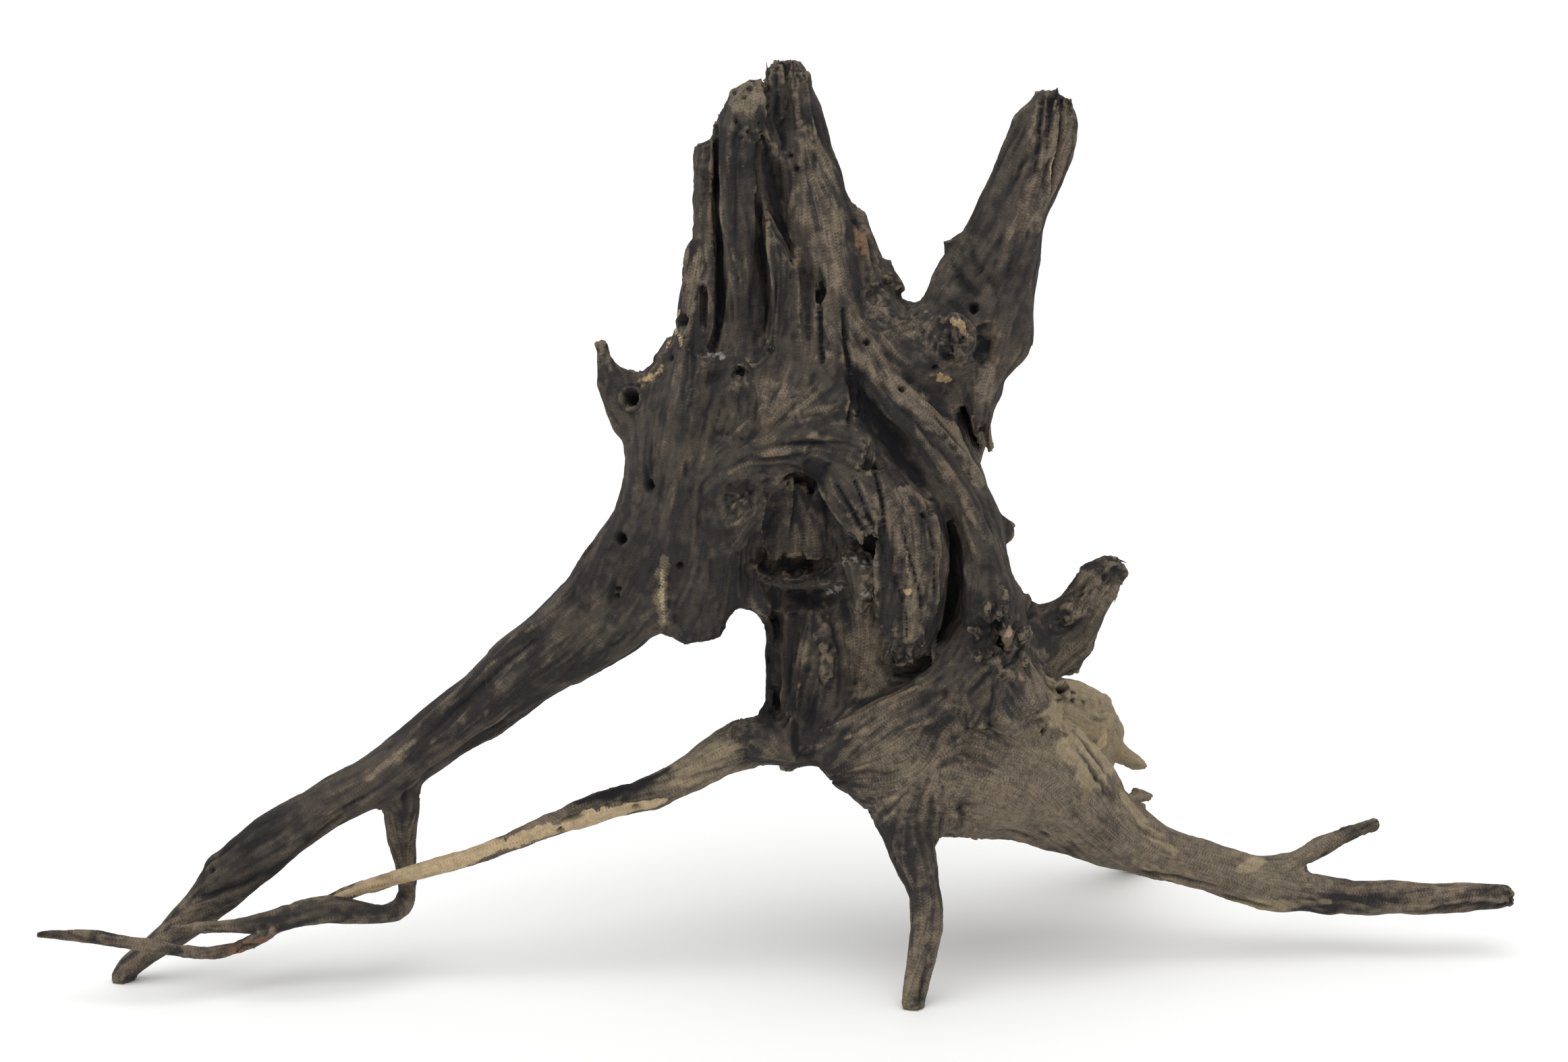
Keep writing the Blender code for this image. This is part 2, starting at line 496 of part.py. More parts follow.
def grow_stock(parts, cutters):
    """The whole wood as one solid: strands fused, hollows cut, heartwood added, weathered and faceted."""
    grown = (
        grown_together("body", (KNOB, HORN, TRUNK, LIMBS), parts, BODY_BLEND),
        grown_together("crown_body", (CROWN,), parts, CROWN_BLEND),
        strands_object("rootlets", (ROOTLETS,), parts),
    )
    stock = joined("stock", grown, parts)
    add_remesh(stock, STOCK_VOXEL)
    bake(stock)
    hollows = as_helper(strands_object("hollows", (HOLLOWS,), cutters))
    add_remesh(hollows, CUTTER_VOXEL)
    bake(hollows)
    add_boolean(stock, "DIFFERENCE", hollows)
    bake(stock)
    heartwood = as_helper(strands_object("heartwood", (HEARTWOOD,), cutters))
    add_remesh(heartwood, CUTTER_VOXEL)
    bake(heartwood)
    add_boolean(stock, "UNION", heartwood)
    add_remesh(stock, STOCK_VOXEL)
    bake(stock)
    keep_largest(stock)
    add_smooth(stock, SMOOTHING_ROUNDS)
    add_lumps(stock)
    bake(stock)
    add_decimate(stock, KEPT_TRIANGLES)
    return bake(stock)


def cut_at_floor(obj):
    """Cuts the feet flat where they stand."""
    bm = bmesh.new()
    bm.from_mesh(obj.data)
    cut = bmesh.ops.bisect_plane(
        bm,
        geom=[*bm.verts, *bm.edges, *bm.faces],
        plane_co=(0, 0, FLOOR_CUT),
        plane_no=(0, 0, -1),
        clear_outer=True,
    )
    rim = [item for item in cut["geom_cut"] if isinstance(item, bmesh.types.BMEdge)]
    bmesh.ops.holes_fill(bm, edges=rim)
    bmesh.ops.triangulate(bm, faces=bm.faces)
    bm.to_mesh(obj.data)
    bm.free()


def fork_cutters(cutters):
    """Thin discs, one across the wood at each main fork."""
    bm = bmesh.new()
    for place, way, radius in FORKS.values():
        centre, _ = seen(*place)
        across, up, depth = way
        axis = Vector((across, depth, up)).normalized()
        turn = axis.to_track_quat("Z", "Y").to_matrix().to_4x4()
        bmesh.ops.create_cone(
            bm,
            cap_ends=True,
            segments=24,
            radius1=radius * MM,
            radius2=radius * MM,
            depth=FORK_GAP,
            matrix=Matrix.Translation(centre) @ turn,
        )
    mesh = bpy.data.meshes.new("forks")
    bm.to_mesh(mesh)
    bm.free()
    obj = bpy.data.objects.new("forks", mesh)
    cutters.objects.link(obj)
    return as_helper(obj)


def wood_material(name):
    material = bpy.data.materials.new(name)
    material.use_nodes = True
    shader = material.node_tree.nodes["Principled BSDF"]
    shader.inputs["Base Color"].default_value = (*WOOD_COLOURS[name], 1)
    shader.inputs["Roughness"].default_value = WOOD_ROUGHNESS
    shader.inputs["Metallic"].default_value = 0.0
    return material


def split_limbs(stock, parts):
    """One object for each body of the cut stock, named by the seed point nearest to its surface."""
    bm = bmesh.new()
    bm.from_mesh(stock.data)
    bodies = [body for body in islands(bm) if len(body) > 30]
    named = {}
    for name, place in SEEDS.items():
        seed, _ = seen(*place)
        nearest = min(bodies, key=lambda body: min((vert.co - seed).length for vert in body))
        if id(nearest) in named.values():
            raise ValueError(f"{name} shares its body with another limb")
        named[name] = id(nearest)
    kept = {id(body): body for body in bodies}
    for name, key in named.items():
        limb = bmesh.new()
        copies = {vert: limb.verts.new(vert.co) for vert in kept[key]}
        for face in {face for vert in kept[key] for face in vert.link_faces}:
            limb.faces.new([copies[vert] for vert in face.verts])
        bmesh.ops.triangulate(limb, faces=limb.faces)
        mesh = bpy.data.meshes.new(name)
        limb.to_mesh(mesh)
        limb.free()
        mesh.shade_smooth()
        mesh.set_sharp_from_angle(angle=math.radians(50))
        mesh.materials.append(wood_material(name))
        parts.objects.link(bpy.data.objects.new(name, mesh))
    bm.free()
    bpy.data.objects.remove(stock)


def main():
    clear_scene()
    parts = bpy.data.collections.new("driftwood")
    cutters = bpy.data.collections.new("cutters")
    bpy.context.scene.collection.children.link(parts)
    bpy.context.scene.collection.children.link(cutters)
    stock = grow_stock(parts, cutters)
    cut_at_floor(stock)
    add_boolean(stock, "DIFFERENCE", fork_cutters(cutters))
    bake(stock)
    split_limbs(stock, parts)


main()
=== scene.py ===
"""The looks of a weathered piece of driftwood.

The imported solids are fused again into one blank, which is smoothed, slit, carved and painted in
fine mesh as one body, so that the grain runs on across the forks. Then it is parted at the same
forks as the solids, small splinters are set on its broken places, and each part stands for its
node. All lengths in the carving lists are millimetres in the front view: across and up from the
point that the camera aims at, and depth away from the viewer.
"""

import logging
import math
from dataclasses import dataclass, field
from enum import Enum
from typing import Any, ClassVar, Iterable, Sequence

import bmesh
import bpy
import numpy as np
from mathutils import Euler, Matrix, Vector
from mathutils.bvhtree import BVHTree
from mathutils.kdtree import KDTree

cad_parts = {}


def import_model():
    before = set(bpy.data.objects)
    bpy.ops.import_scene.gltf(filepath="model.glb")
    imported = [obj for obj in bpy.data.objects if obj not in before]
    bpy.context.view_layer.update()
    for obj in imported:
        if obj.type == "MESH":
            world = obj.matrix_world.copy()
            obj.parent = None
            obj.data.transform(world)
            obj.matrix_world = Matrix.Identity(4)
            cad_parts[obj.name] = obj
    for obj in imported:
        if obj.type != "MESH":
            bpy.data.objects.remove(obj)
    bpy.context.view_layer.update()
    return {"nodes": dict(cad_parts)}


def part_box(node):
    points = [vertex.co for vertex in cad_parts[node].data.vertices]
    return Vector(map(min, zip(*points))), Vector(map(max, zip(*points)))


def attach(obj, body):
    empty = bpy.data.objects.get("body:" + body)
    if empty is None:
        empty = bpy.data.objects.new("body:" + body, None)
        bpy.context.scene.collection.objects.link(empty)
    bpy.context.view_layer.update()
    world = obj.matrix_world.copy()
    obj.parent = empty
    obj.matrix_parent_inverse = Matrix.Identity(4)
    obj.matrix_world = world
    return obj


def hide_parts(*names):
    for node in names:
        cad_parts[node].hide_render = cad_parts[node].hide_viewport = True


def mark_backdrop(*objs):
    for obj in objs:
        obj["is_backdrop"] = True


MM = 0.001
BODY = "root"
LOG = logging.getLogger("driftwood")

ViewPoint = tuple[float, float]
Station = tuple[float, float, float, float, float]


@dataclass(frozen=True)
class FrontView:
    """The camera's place, and the plane in which the carving lists are drawn."""

    tilt: float = math.radians(12)
    distance: float = 900.0
    height: float = 134.0
    shift: tuple[float, float, float] = (-2.16, -25.14, 0.0)
    frame_width: float = 464.8
    sensor: float = 36.0

    def aim(self) -> Vector:
        """Returns the point in metres that the camera looks at."""
        return (Vector((0, 0, self.height)) + Vector(self.shift)) * MM

    def eye(self) -> Vector:
        """Returns the camera's place in metres."""
        back = Vector((0, -math.cos(self.tilt), math.sin(self.tilt)))
        return self.aim() + back * self.distance * MM

    def ray(self, across: float, up: float) -> Vector:
        """The way from the eye through a point of the front view.

        Args:
            across: Millimetres to the right of the aim.
            up: Millimetres above the aim, square to the line of sight.

        Returns:
            A unit vector.
        """
        rise = Vector((0, math.sin(self.tilt), math.cos(self.tilt)))
        target = self.aim() + (Vector((across, 0, 0)) + rise * up) * MM
        return (target - self.eye()).normalized()

    def place(self, across: float, up: float, depth: float) -> tuple[Vector, float]:
        """The point that is seen at (across, up) and lies depth away from the aim's upright plane.

        Args:
            across: Millimetres to the right of the aim.
            up: Millimetres above the aim.
            depth: Millimetres away from the viewer.

        Returns:
            The point in metres, and the scale there against the aim's distance.
        """
        sine, cosine = math.sin(self.tilt), math.cos(self.tilt)
        rise = (up * (self.distance + depth * cosine) - self.distance * depth * sine) / (
            self.distance * cosine + up * sine
        )
        scale = (self.distance + depth * cosine - rise * sine) / self.distance
        here = Vector((across * scale, depth, rise + self.height)) + Vector(self.shift)
        return here * MM, scale


VIEW = FrontView()


class Noise:
    """Smooth value noise in space, read from a small random block that repeats."""

    SIDE = 64
    TURN = np.array(Euler((0.6, 0.4, 0.9)).to_matrix())

    def __init__(self, seed: int) -> None:
        """Fills the block.

        Args:
            seed: Picks the block's values, so that each noise is its own.
        """
        self.block = np.random.default_rng(seed).random(self.SIDE**3, dtype=np.float32)

    def at(self, points: np.ndarray, size: float) -> np.ndarray:
        """The noise at some points.

        Args:
            points: Places in metres, one row each.
            size: The width of a lump, in metres.

        Returns:
            Values from -1 to 1.
        """
        scaled = points @ self.TURN / size
        cell = np.floor(scaled).astype(np.int64)
        part = (scaled - cell).astype(np.float32)
        part = part * part * (3 - 2 * part)
        low, high = cell & (self.SIDE - 1), (cell + 1) & (self.SIDE - 1)
        total = np.zeros(len(points), np.float32)
        for corner in range(8):
            pick = [(corner >> axis) & 1 for axis in range(3)]
            index = np.zeros(len(points), np.int64)
            weight = np.ones(len(points), np.float32)
            for axis, far in enumerate(pick):
                index = index * self.SIDE + (high if far else low)[:, axis]
                weight *= part[:, axis] if far else 1 - part[:, axis]
            total += weight * self.block[index]
        return total * 2 - 1

    def along(self, points: np.ndarray, ways: np.ndarray, size: float, reach: float) -> np.ndarray:
        """Noise drawn out into streaks.

        Args:
            points: Places in metres.
            ways: The streaks' way at each place, as unit vectors.
            size: The width of a streak, in metres.
            reach: Half the length of a streak, in metres.

        Returns:
            Values with a mean of about 0 and a spread of about 1.
        """
        steps = max(int(2 * reach / size), 2)
        total = np.zeros(len(points), np.float32)
        for step in range(steps + 1):
            total += self.at(points + ways * (reach * (2 * step / steps - 1)), size)
        return total / max(float(total.std()), 1e-6)


@dataclass(frozen=True)
class Streaks:
    """A layer of noise that is drawn out along the grain, in millimetres."""

    seed: int
    size: float
    reach: float

    def over(self, skin: "Surface", grain: np.ndarray) -> np.ndarray:
        """The layer at each vertex of the skin.

        Args:
            skin: The wood's skin.
            grain: The way of the grain at each vertex.

        Returns:
            Values with a mean of about 0 and a spread of about 1.
        """
        return Noise(self.seed).along(skin.points, grain, self.size * MM, self.reach * MM)


@dataclass(frozen=True)
class Lumps:
    """A layer of round noise, in millimetres."""

    seed: int
    size: float

    def over(self, places: np.ndarray) -> np.ndarray:
        """Returns the layer at some places, from -1 to 1."""
        return Noise(self.seed).at(places, self.size * MM)


def smooth_stations(stations: Sequence[Station], steps: int = 3) -> list[Station]:
    """A smooth curve through a strand's stations.

    Args:
        stations: The strand's stations.
        steps: How many steps each span is cut into.

    Returns:
        The finer list of stations.
    """
    rows = [stations[0], *stations, stations[-1]]
    fine: list[Station] = []
    for i in range(1, len(rows) - 2):
        for step in range(steps):
            t = step / steps
            a, b, c, d = (np.array(rows[i + k], float) for k in (-1, 0, 1, 2))
            row = 0.5 * (
                2 * b + (c - a) * t + (2 * a - 5 * b + 4 * c - d) * t**2 + (3 * b - a - 3 * c + d) * t**3
            )
            fine.append(tuple(row))
    return [*fine, stations[-1]]


def loft_strand(bm: bmesh.types.BMesh, stations: Sequence[Station], sides: int = 10) -> None:
    """Adds one closed strand of oval rings to a mesh.

    Args:
        bm: The mesh that the strand is added to.
        stations: (across, up, depth, half width, half thickness) in millimetres.
        sides: The rings' number of sides.
    """
    rows = smooth_stations(stations)
    places = [VIEW.place(*row[:3]) for row in rows]
    last = len(rows) - 1
    made: list[bmesh.types.BMVert] = []
    loops: list[list[bmesh.types.BMEdge]] = []
    for i, row in enumerate(rows):
        centre, scale = places[i]
        way = (places[min(i + 1, last)][0] - places[max(i - 1, 0)][0]).normalized()
        side = way.cross(Vector((0, 1, 0)))
        if side.length < 0.35:
            side = Vector((1, 0, 0)) - way * way.x
        side.normalize()
        turn = Matrix((side, way.cross(side), way)).transposed().to_4x4()
        ring = bmesh.ops.create_circle(bm, cap_ends=i in (0, last), segments=sides, radius=1)["verts"]
        size = Matrix.Diagonal((max(row[3], 0.15) * MM * scale, max(row[4], 0.15) * MM * scale, 1, 1))
        bmesh.ops.transform(bm, matrix=Matrix.Translation(centre) @ turn @ size, verts=ring)
        made += ring
        loops.append(list({edge for vert in ring for edge in vert.link_edges}))
    for first, second in zip(loops, loops[1:]):
        bmesh.ops.bridge_loops(bm, edges=first + second)
    bmesh.ops.recalc_face_normals(bm, faces=list({face for vert in made for face in vert.link_faces}))


def object_from(name: str, bm: bmesh.types.BMesh) -> bpy.types.Object:
    """Makes an object of a bmesh and frees the bmesh.

    Args:
        name: The object's name.
        bm: Its shape, in place.

    Returns:
        The object, linked to the scene.
    """
    mesh = bpy.data.meshes.new(name)
    bm.to_mesh(mesh)
    bm.free()
    obj = bpy.data.objects.new(name, mesh)
    bpy.context.scene.collection.objects.link(obj)
    return obj


def settle(obj: bpy.types.Object) -> bpy.types.Object:
    """Puts an object's modifiers into its mesh.

    Args:
        obj: The object with modifiers.

    Returns:
        The same object, with a plain mesh.
    """
    bpy.context.view_layer.update()
    graph = bpy.context.evaluated_depsgraph_get()
    mesh = bpy.data.meshes.new_from_object(obj.evaluated_get(graph))
    obj.modifiers.clear()
    spent, obj.data = obj.data, mesh
    bpy.data.meshes.remove(spent)
    return obj


def fuse(obj: bpy.types.Object, voxel: float) -> bpy.types.Object:
    """Fuses an object's overlapping bodies into one skin.

    Args:
        obj: The object.
        voxel: The new skin's edge length in metres.

    Returns:
        The same object.
    """
    modifier = obj.modifiers.new("fuse", "REMESH")
    modifier.mode = "VOXEL"
    modifier.voxel_size = voxel
    return settle(obj)


@dataclass(frozen=True)
class Fork:
    """A place where a limb is parted from the wood that carries it."""

    place: tuple[float, float, float]
    way: tuple[float, float, float]
    radius: float

    def centre(self) -> Vector:
        """Returns the fork's centre in metres."""
        return VIEW.place(*self.place)[0]

    def axis(self) -> Vector:
        """Returns the way in which the limb leaves."""
        across, up, depth = self.way
        return Vector((across, depth, up)).normalized()


FORKS: dict[str, Fork] = {
    "crown": Fork((-3, 64.8, -1), (-0.338, 0.941, 0.0), 43),
    "horn": Fork((57.5, 64, -3), (0.68, 0.73, 0.0), 22),
    "left_root": Fork((-68, -34.5, -6), (-0.8, -0.58, 0.0), 22),
    "rootlet": Fork((-113.3, -85, -8), (0.0, -1.0, 0.0), 9),
    "pale_root": Fork((-16, -65.5, -14), (-0.88, -0.45, 0.0), 14),
    "front_leg": Fork((38.2, -95.5, -23.5), (0.2, -0.9, -0.36), 13),
    "right_root": Fork((109, -93, 2), (0.86, -0.5, 0.0), 15),
    "right_twig": Fork((160, -93.2, 9.4), (0.82, 0.42, 0.24), 5.5),
    "side_spur": Fork((75.0, -28.4, 0), (0.9, 0.42, 0.0), 20),
    "back_root": Fork((84, -55, 35), (0.62, -0.2, 0.76), 22),
}


@dataclass(frozen=True)
class GrainStrand:
    """A stretch of wood along which the grain runs."""

    points: tuple[tuple[float, float, float], ...]
    weight: float = 1.0


GRAIN: tuple[GrainStrand, ...] = (
    GrainStrand(((1, 139, 2), (4, 127, 1), (7, 107, -1), (11, 87, -2), (15, 65, -2), (14, 50, -6))),
    GrainStrand(((-8, 133, -4), (-12, 111, -8), (-13, 85, -8), (-12, 57, -9), (-14, 44, -10))),
    GrainStrand(((-24, 115, -3), (-23, 81, -5), (-21, 57, -7), (-23, 40, -8))),
    GrainStrand(((-26, 83, -7), (-27, 60, -9), (-26, 40, -10))),
    GrainStrand(((-4, 95, -11), (-1, 72, -13), (-1, 50, -16), (-2, 36, -18))),
    GrainStrand(((22, 95, 0), (26, 76, -2), (30, 60, -6), (30, 48, -12))),
    GrainStrand(((-4, 118, 14), (-6, 90, 18), (-4, 60, 24), (2, 30, 28), (6, 0, 30))),
    GrainStrand(((78, 130, 3), (74, 110, 1), (66, 88, -2), (60, 68, -6), (57, 48, -10), (56, 34, -12))),
    GrainStrand(((44, 54, -14), (52, 62, -10), (60, 72, -5)), 0.7),
    GrainStrand(((18, 60, -8), (32, 52, -12), (44, 46, -14), (54, 36, -12))),
    GrainStrand(((-55, 56, -4), (-51, 42, -6), (-44, 30, -8), (-36, 16, -14))),
    GrainStrand(((-30, 44, -12), (-34, 24, -16), (-38, 4, -16), (-48, -14, -14), (-62, -28, -10))),
    GrainStrand(((-20, 44, -18), (-26, 26, -22), (-30, 6, -24), (-34, -10, -22), (-44, -22, -16))),
    GrainStrand(((0, 44, -20), (-8, 30, -24), (-18, 18, -26), (-26, 2, -26), (-27, -16, -22))),
    GrainStrand(((22, 52, -16), (14, 38, -22), (2, 28, -26), (-10, 22, -26), (-22, 12, -26))),
    GrainStrand(((22, 54, -16), (30, 42, -20), (42, 26, -22), (52, 10, -22), (58, -6, -22),
                (60, -26, -24))),
    GrainStrand(((12, 26, -26), (24, 24, -24), (36, 16, -24), (46, 4, -24), (50, -12, -24),
                (48, -30, -22))),
    GrainStrand(((54, 40, 0), (52, 14, 2), (58, -6, 0), (62, -24, -4))),
    GrainStrand(((12, 24, -22), (18, 14, -26), (24, 4, -28), (26, -3, -28)), 1.6),
    GrainStrand(((28, 25, -20), (35, 12, -26), (40, 0, -28), (40, -14, -28), (37, -30, -24)), 1.6),
    GrainStrand(((-6, -22, -18), (-7, -40, -12), (-6, -56, -12), (-4, -62, -16)), 1.2),
    GrainStrand(((12, -24, -14), (12, -44, -18), (9, -60, -18)), 1.2),
    GrainStrand(((60, -30, -24), (54, -46, -30), (46, -58, -34), (42, -72, -32), (39, -90, -26))),
    GrainStrand(((14, -64, -22), (28, -56, -28), (42, -50, -30), (56, -42, -30)), 0.8),
    GrainStrand(((24, -74, -22), (40, -72, -32), (62, -72, -30), (82, -80, -22), (98, -90, -12),
                (114, -96, -4))),
    GrainStrand(((62, -44, -26), (76, -60, -22), (90, -76, -14), (104, -90, -6))),
    GrainStrand(((114, -96, 3), (142, -104, 4), (160, -108, 4), (198, -109, 5), (216, -108, 6))),
    GrainStrand(((138, -101, 4), (154, -96, 8), (162, -92, 10), (177, -86, 14))),
    GrainStrand(((38, -94, -23), (42, -114, -31), (42, -123, -35), (38, -144, -40))),
    GrainStrand(((64, -36, -4), (78, -31, 0), (88, -23, 1), (100, -10, 1))),
    GrainStrand(((58, -50, 12), (74, -56, 27), (87, -57, 38), (89, -73, 61), (105, -103, 89))),
    GrainStrand(((-62, -30, -6), (-89, -51, -7), (-117, -72, -10), (-143, -86, -14), (-169, -107, -16),
                (-197, -137, -18))),
    GrainStrand(((-113, -76, -8), (-113, -92, -6), (-112, -106, -9), (-114, -112, -17), (-120, -114, -23))),
    GrainStrand(((-120, -114, -23), (-136, -112, -29), (-160, -117, -30), (-186, -118, -27))),
    GrainStrand(((10, -62, -10), (-9, -62, -13), (-30, -73, -14), (-59, -83, -15), (-87, -95, -16),
                (-128, -107, -18))),
    GrainStrand(((-128, -107, -18), (-158, -122, -24), (-182, -124, -34), (-222, -120, -32))),
    GrainStrand(((-26, 40, 16), (-32, 16, 18), (-48, -16, 12), (-60, -27, 6))),
    GrainStrand(((-6, 40, 32), (16, -5, 36), (50, -45, 32), (70, -55, 32))),
    GrainStrand(((60, 50, 14), (48, 20, 26), (43, -20, 30), (46, -50, 28))),
)


@dataclass(frozen=True)
class Knot:
    """A knot in the front view, round which the grain bends."""

    across: float
    up: float
    radius: float


KNOTS: tuple[Knot, ...] = (
    Knot(-13.2, 10.0, 13.0),
    Knot(51.0, 55.5, 9.0),
    Knot(63.5, -30.0, 9.0),
    Knot(84.6, -24.4, 6.0),
    Knot(28.4, 65.8, 6.0),
    Knot(97.0, -60.0, 6.0),
)


CLEFTS: tuple[tuple[Station, ...], ...] = (
    ((-20.2, 121, -5, 1.0, 10), (-20.0, 108, -10, 1.3, 10), (-20.2, 96, -13, 1.5, 9),
     (-19, 84, -14, 1.5, 9),
     (-18.8, 72, -15, 1.5, 9), (-19.4, 61, -16, 1.3, 9), (-21.4, 53, -17, 0.8, 6)),
    ((-24.8, 84, -10, 0.5, 6), (-24.0, 74, -13, 0.8, 7), (-23.8, 62, -15, 0.8, 6),
     (-24.6, 52, -16, 0.4, 4)),
    ((-6.5, 117, -17, 1.5, 6), (-5.4, 110, -17, 3.6, 9), (-4.2, 103, -16, 4.4, 9), (-2.6, 96, -15, 3.6, 9),
     (-0.6, 90, -15, 2.4, 9), (1.6, 84, -15, 1.3, 8), (2.6, 78, -16, 0.6, 5)),
    ((-7.8, 100, -18, 1.4, 7), (-6.9, 90, -18, 1.9, 9), (-6.2, 78, -19, 1.9, 9), (-5.0, 66, -20, 1.7, 8),
     (-6, 56, -22, 1.1, 6)),
    ((-5.9, 134, -8, 0.6, 4), (-5.3, 128, -9, 0.9, 4), (-4.2, 123, -11, 0.9, 4), (-2.4, 117, -12, 0.5, 3)),
    ((11, 73, -20, 0.5, 7), (11.1, 70, -19, 1.4, 9), (10.9, 67, -20, 0.9, 7), (10.4, 58, -20, 0.4, 4)),
    ((52.4, 38.6, -16, 0.5, 5), (53.4, 35.4, -14, 1.0, 9), (54.6, 31, -8, 1.1, 16),
     (56.2, 26.4, -4, 1.5, 20),
     (58.6, 21, 0, 1.5, 20), (60.6, 16, 2, 0.6, 14)),
    ((-13.2, 47.4, -36, 2.8, 2.0), (-13.2, 47.4, -26, 2.5, 1.9), (-12.6, 47.6, -16, 1.6, 1.4)),
    ((76.2, 132, 0, 0.6, 8), (75.8, 125, -3, 0.6, 5), (75.0, 114, -6, 0.4, 3)),
    ((79.4, 132, 0, 0.55, 8), (79.0, 126, -3, 0.5, 5), (78.2, 119, -6, 0.4, 3)),
    ((82.6, 132, 0, 0.7, 8), (82.0, 124, -4, 0.7, 5), (80.8, 111, -6, 0.4, 3)),
    ((44.6, 55, -24, 0.4, 3), (46.6, 52, -25, 1.1, 4), (49.4, 50.6, -25, 0.7, 3)),
    ((63.2, -28.8, -34, 1.8, 4), (63.8, -32.2, -30, 2.9, 6), (64.8, -35.6, -27, 1.6, 4)),
    ((19.6, 47, -24, 0.8, 3), (22.0, 41, -24, 2.4, 5.5), (25.4, 34.6, -23.5, 3.6, 6.5),
     (31.6, 27, -24, 4.6, 6.5),
     (35.4, 20.5, -26, 3.4, 6), (41, 13.5, -27, 2.6, 5), (45, 9, -28, 1.4, 4)),
    ((45.5, 10, -30, 0.8, 5), (49.4, 2, -30, 1.5, 7), (50.6, -10, -30, 1.6, 7),
     (50.0, -22, -28, 1.5, 6), (46.4, -32, -26, 1.2, 5)),
)

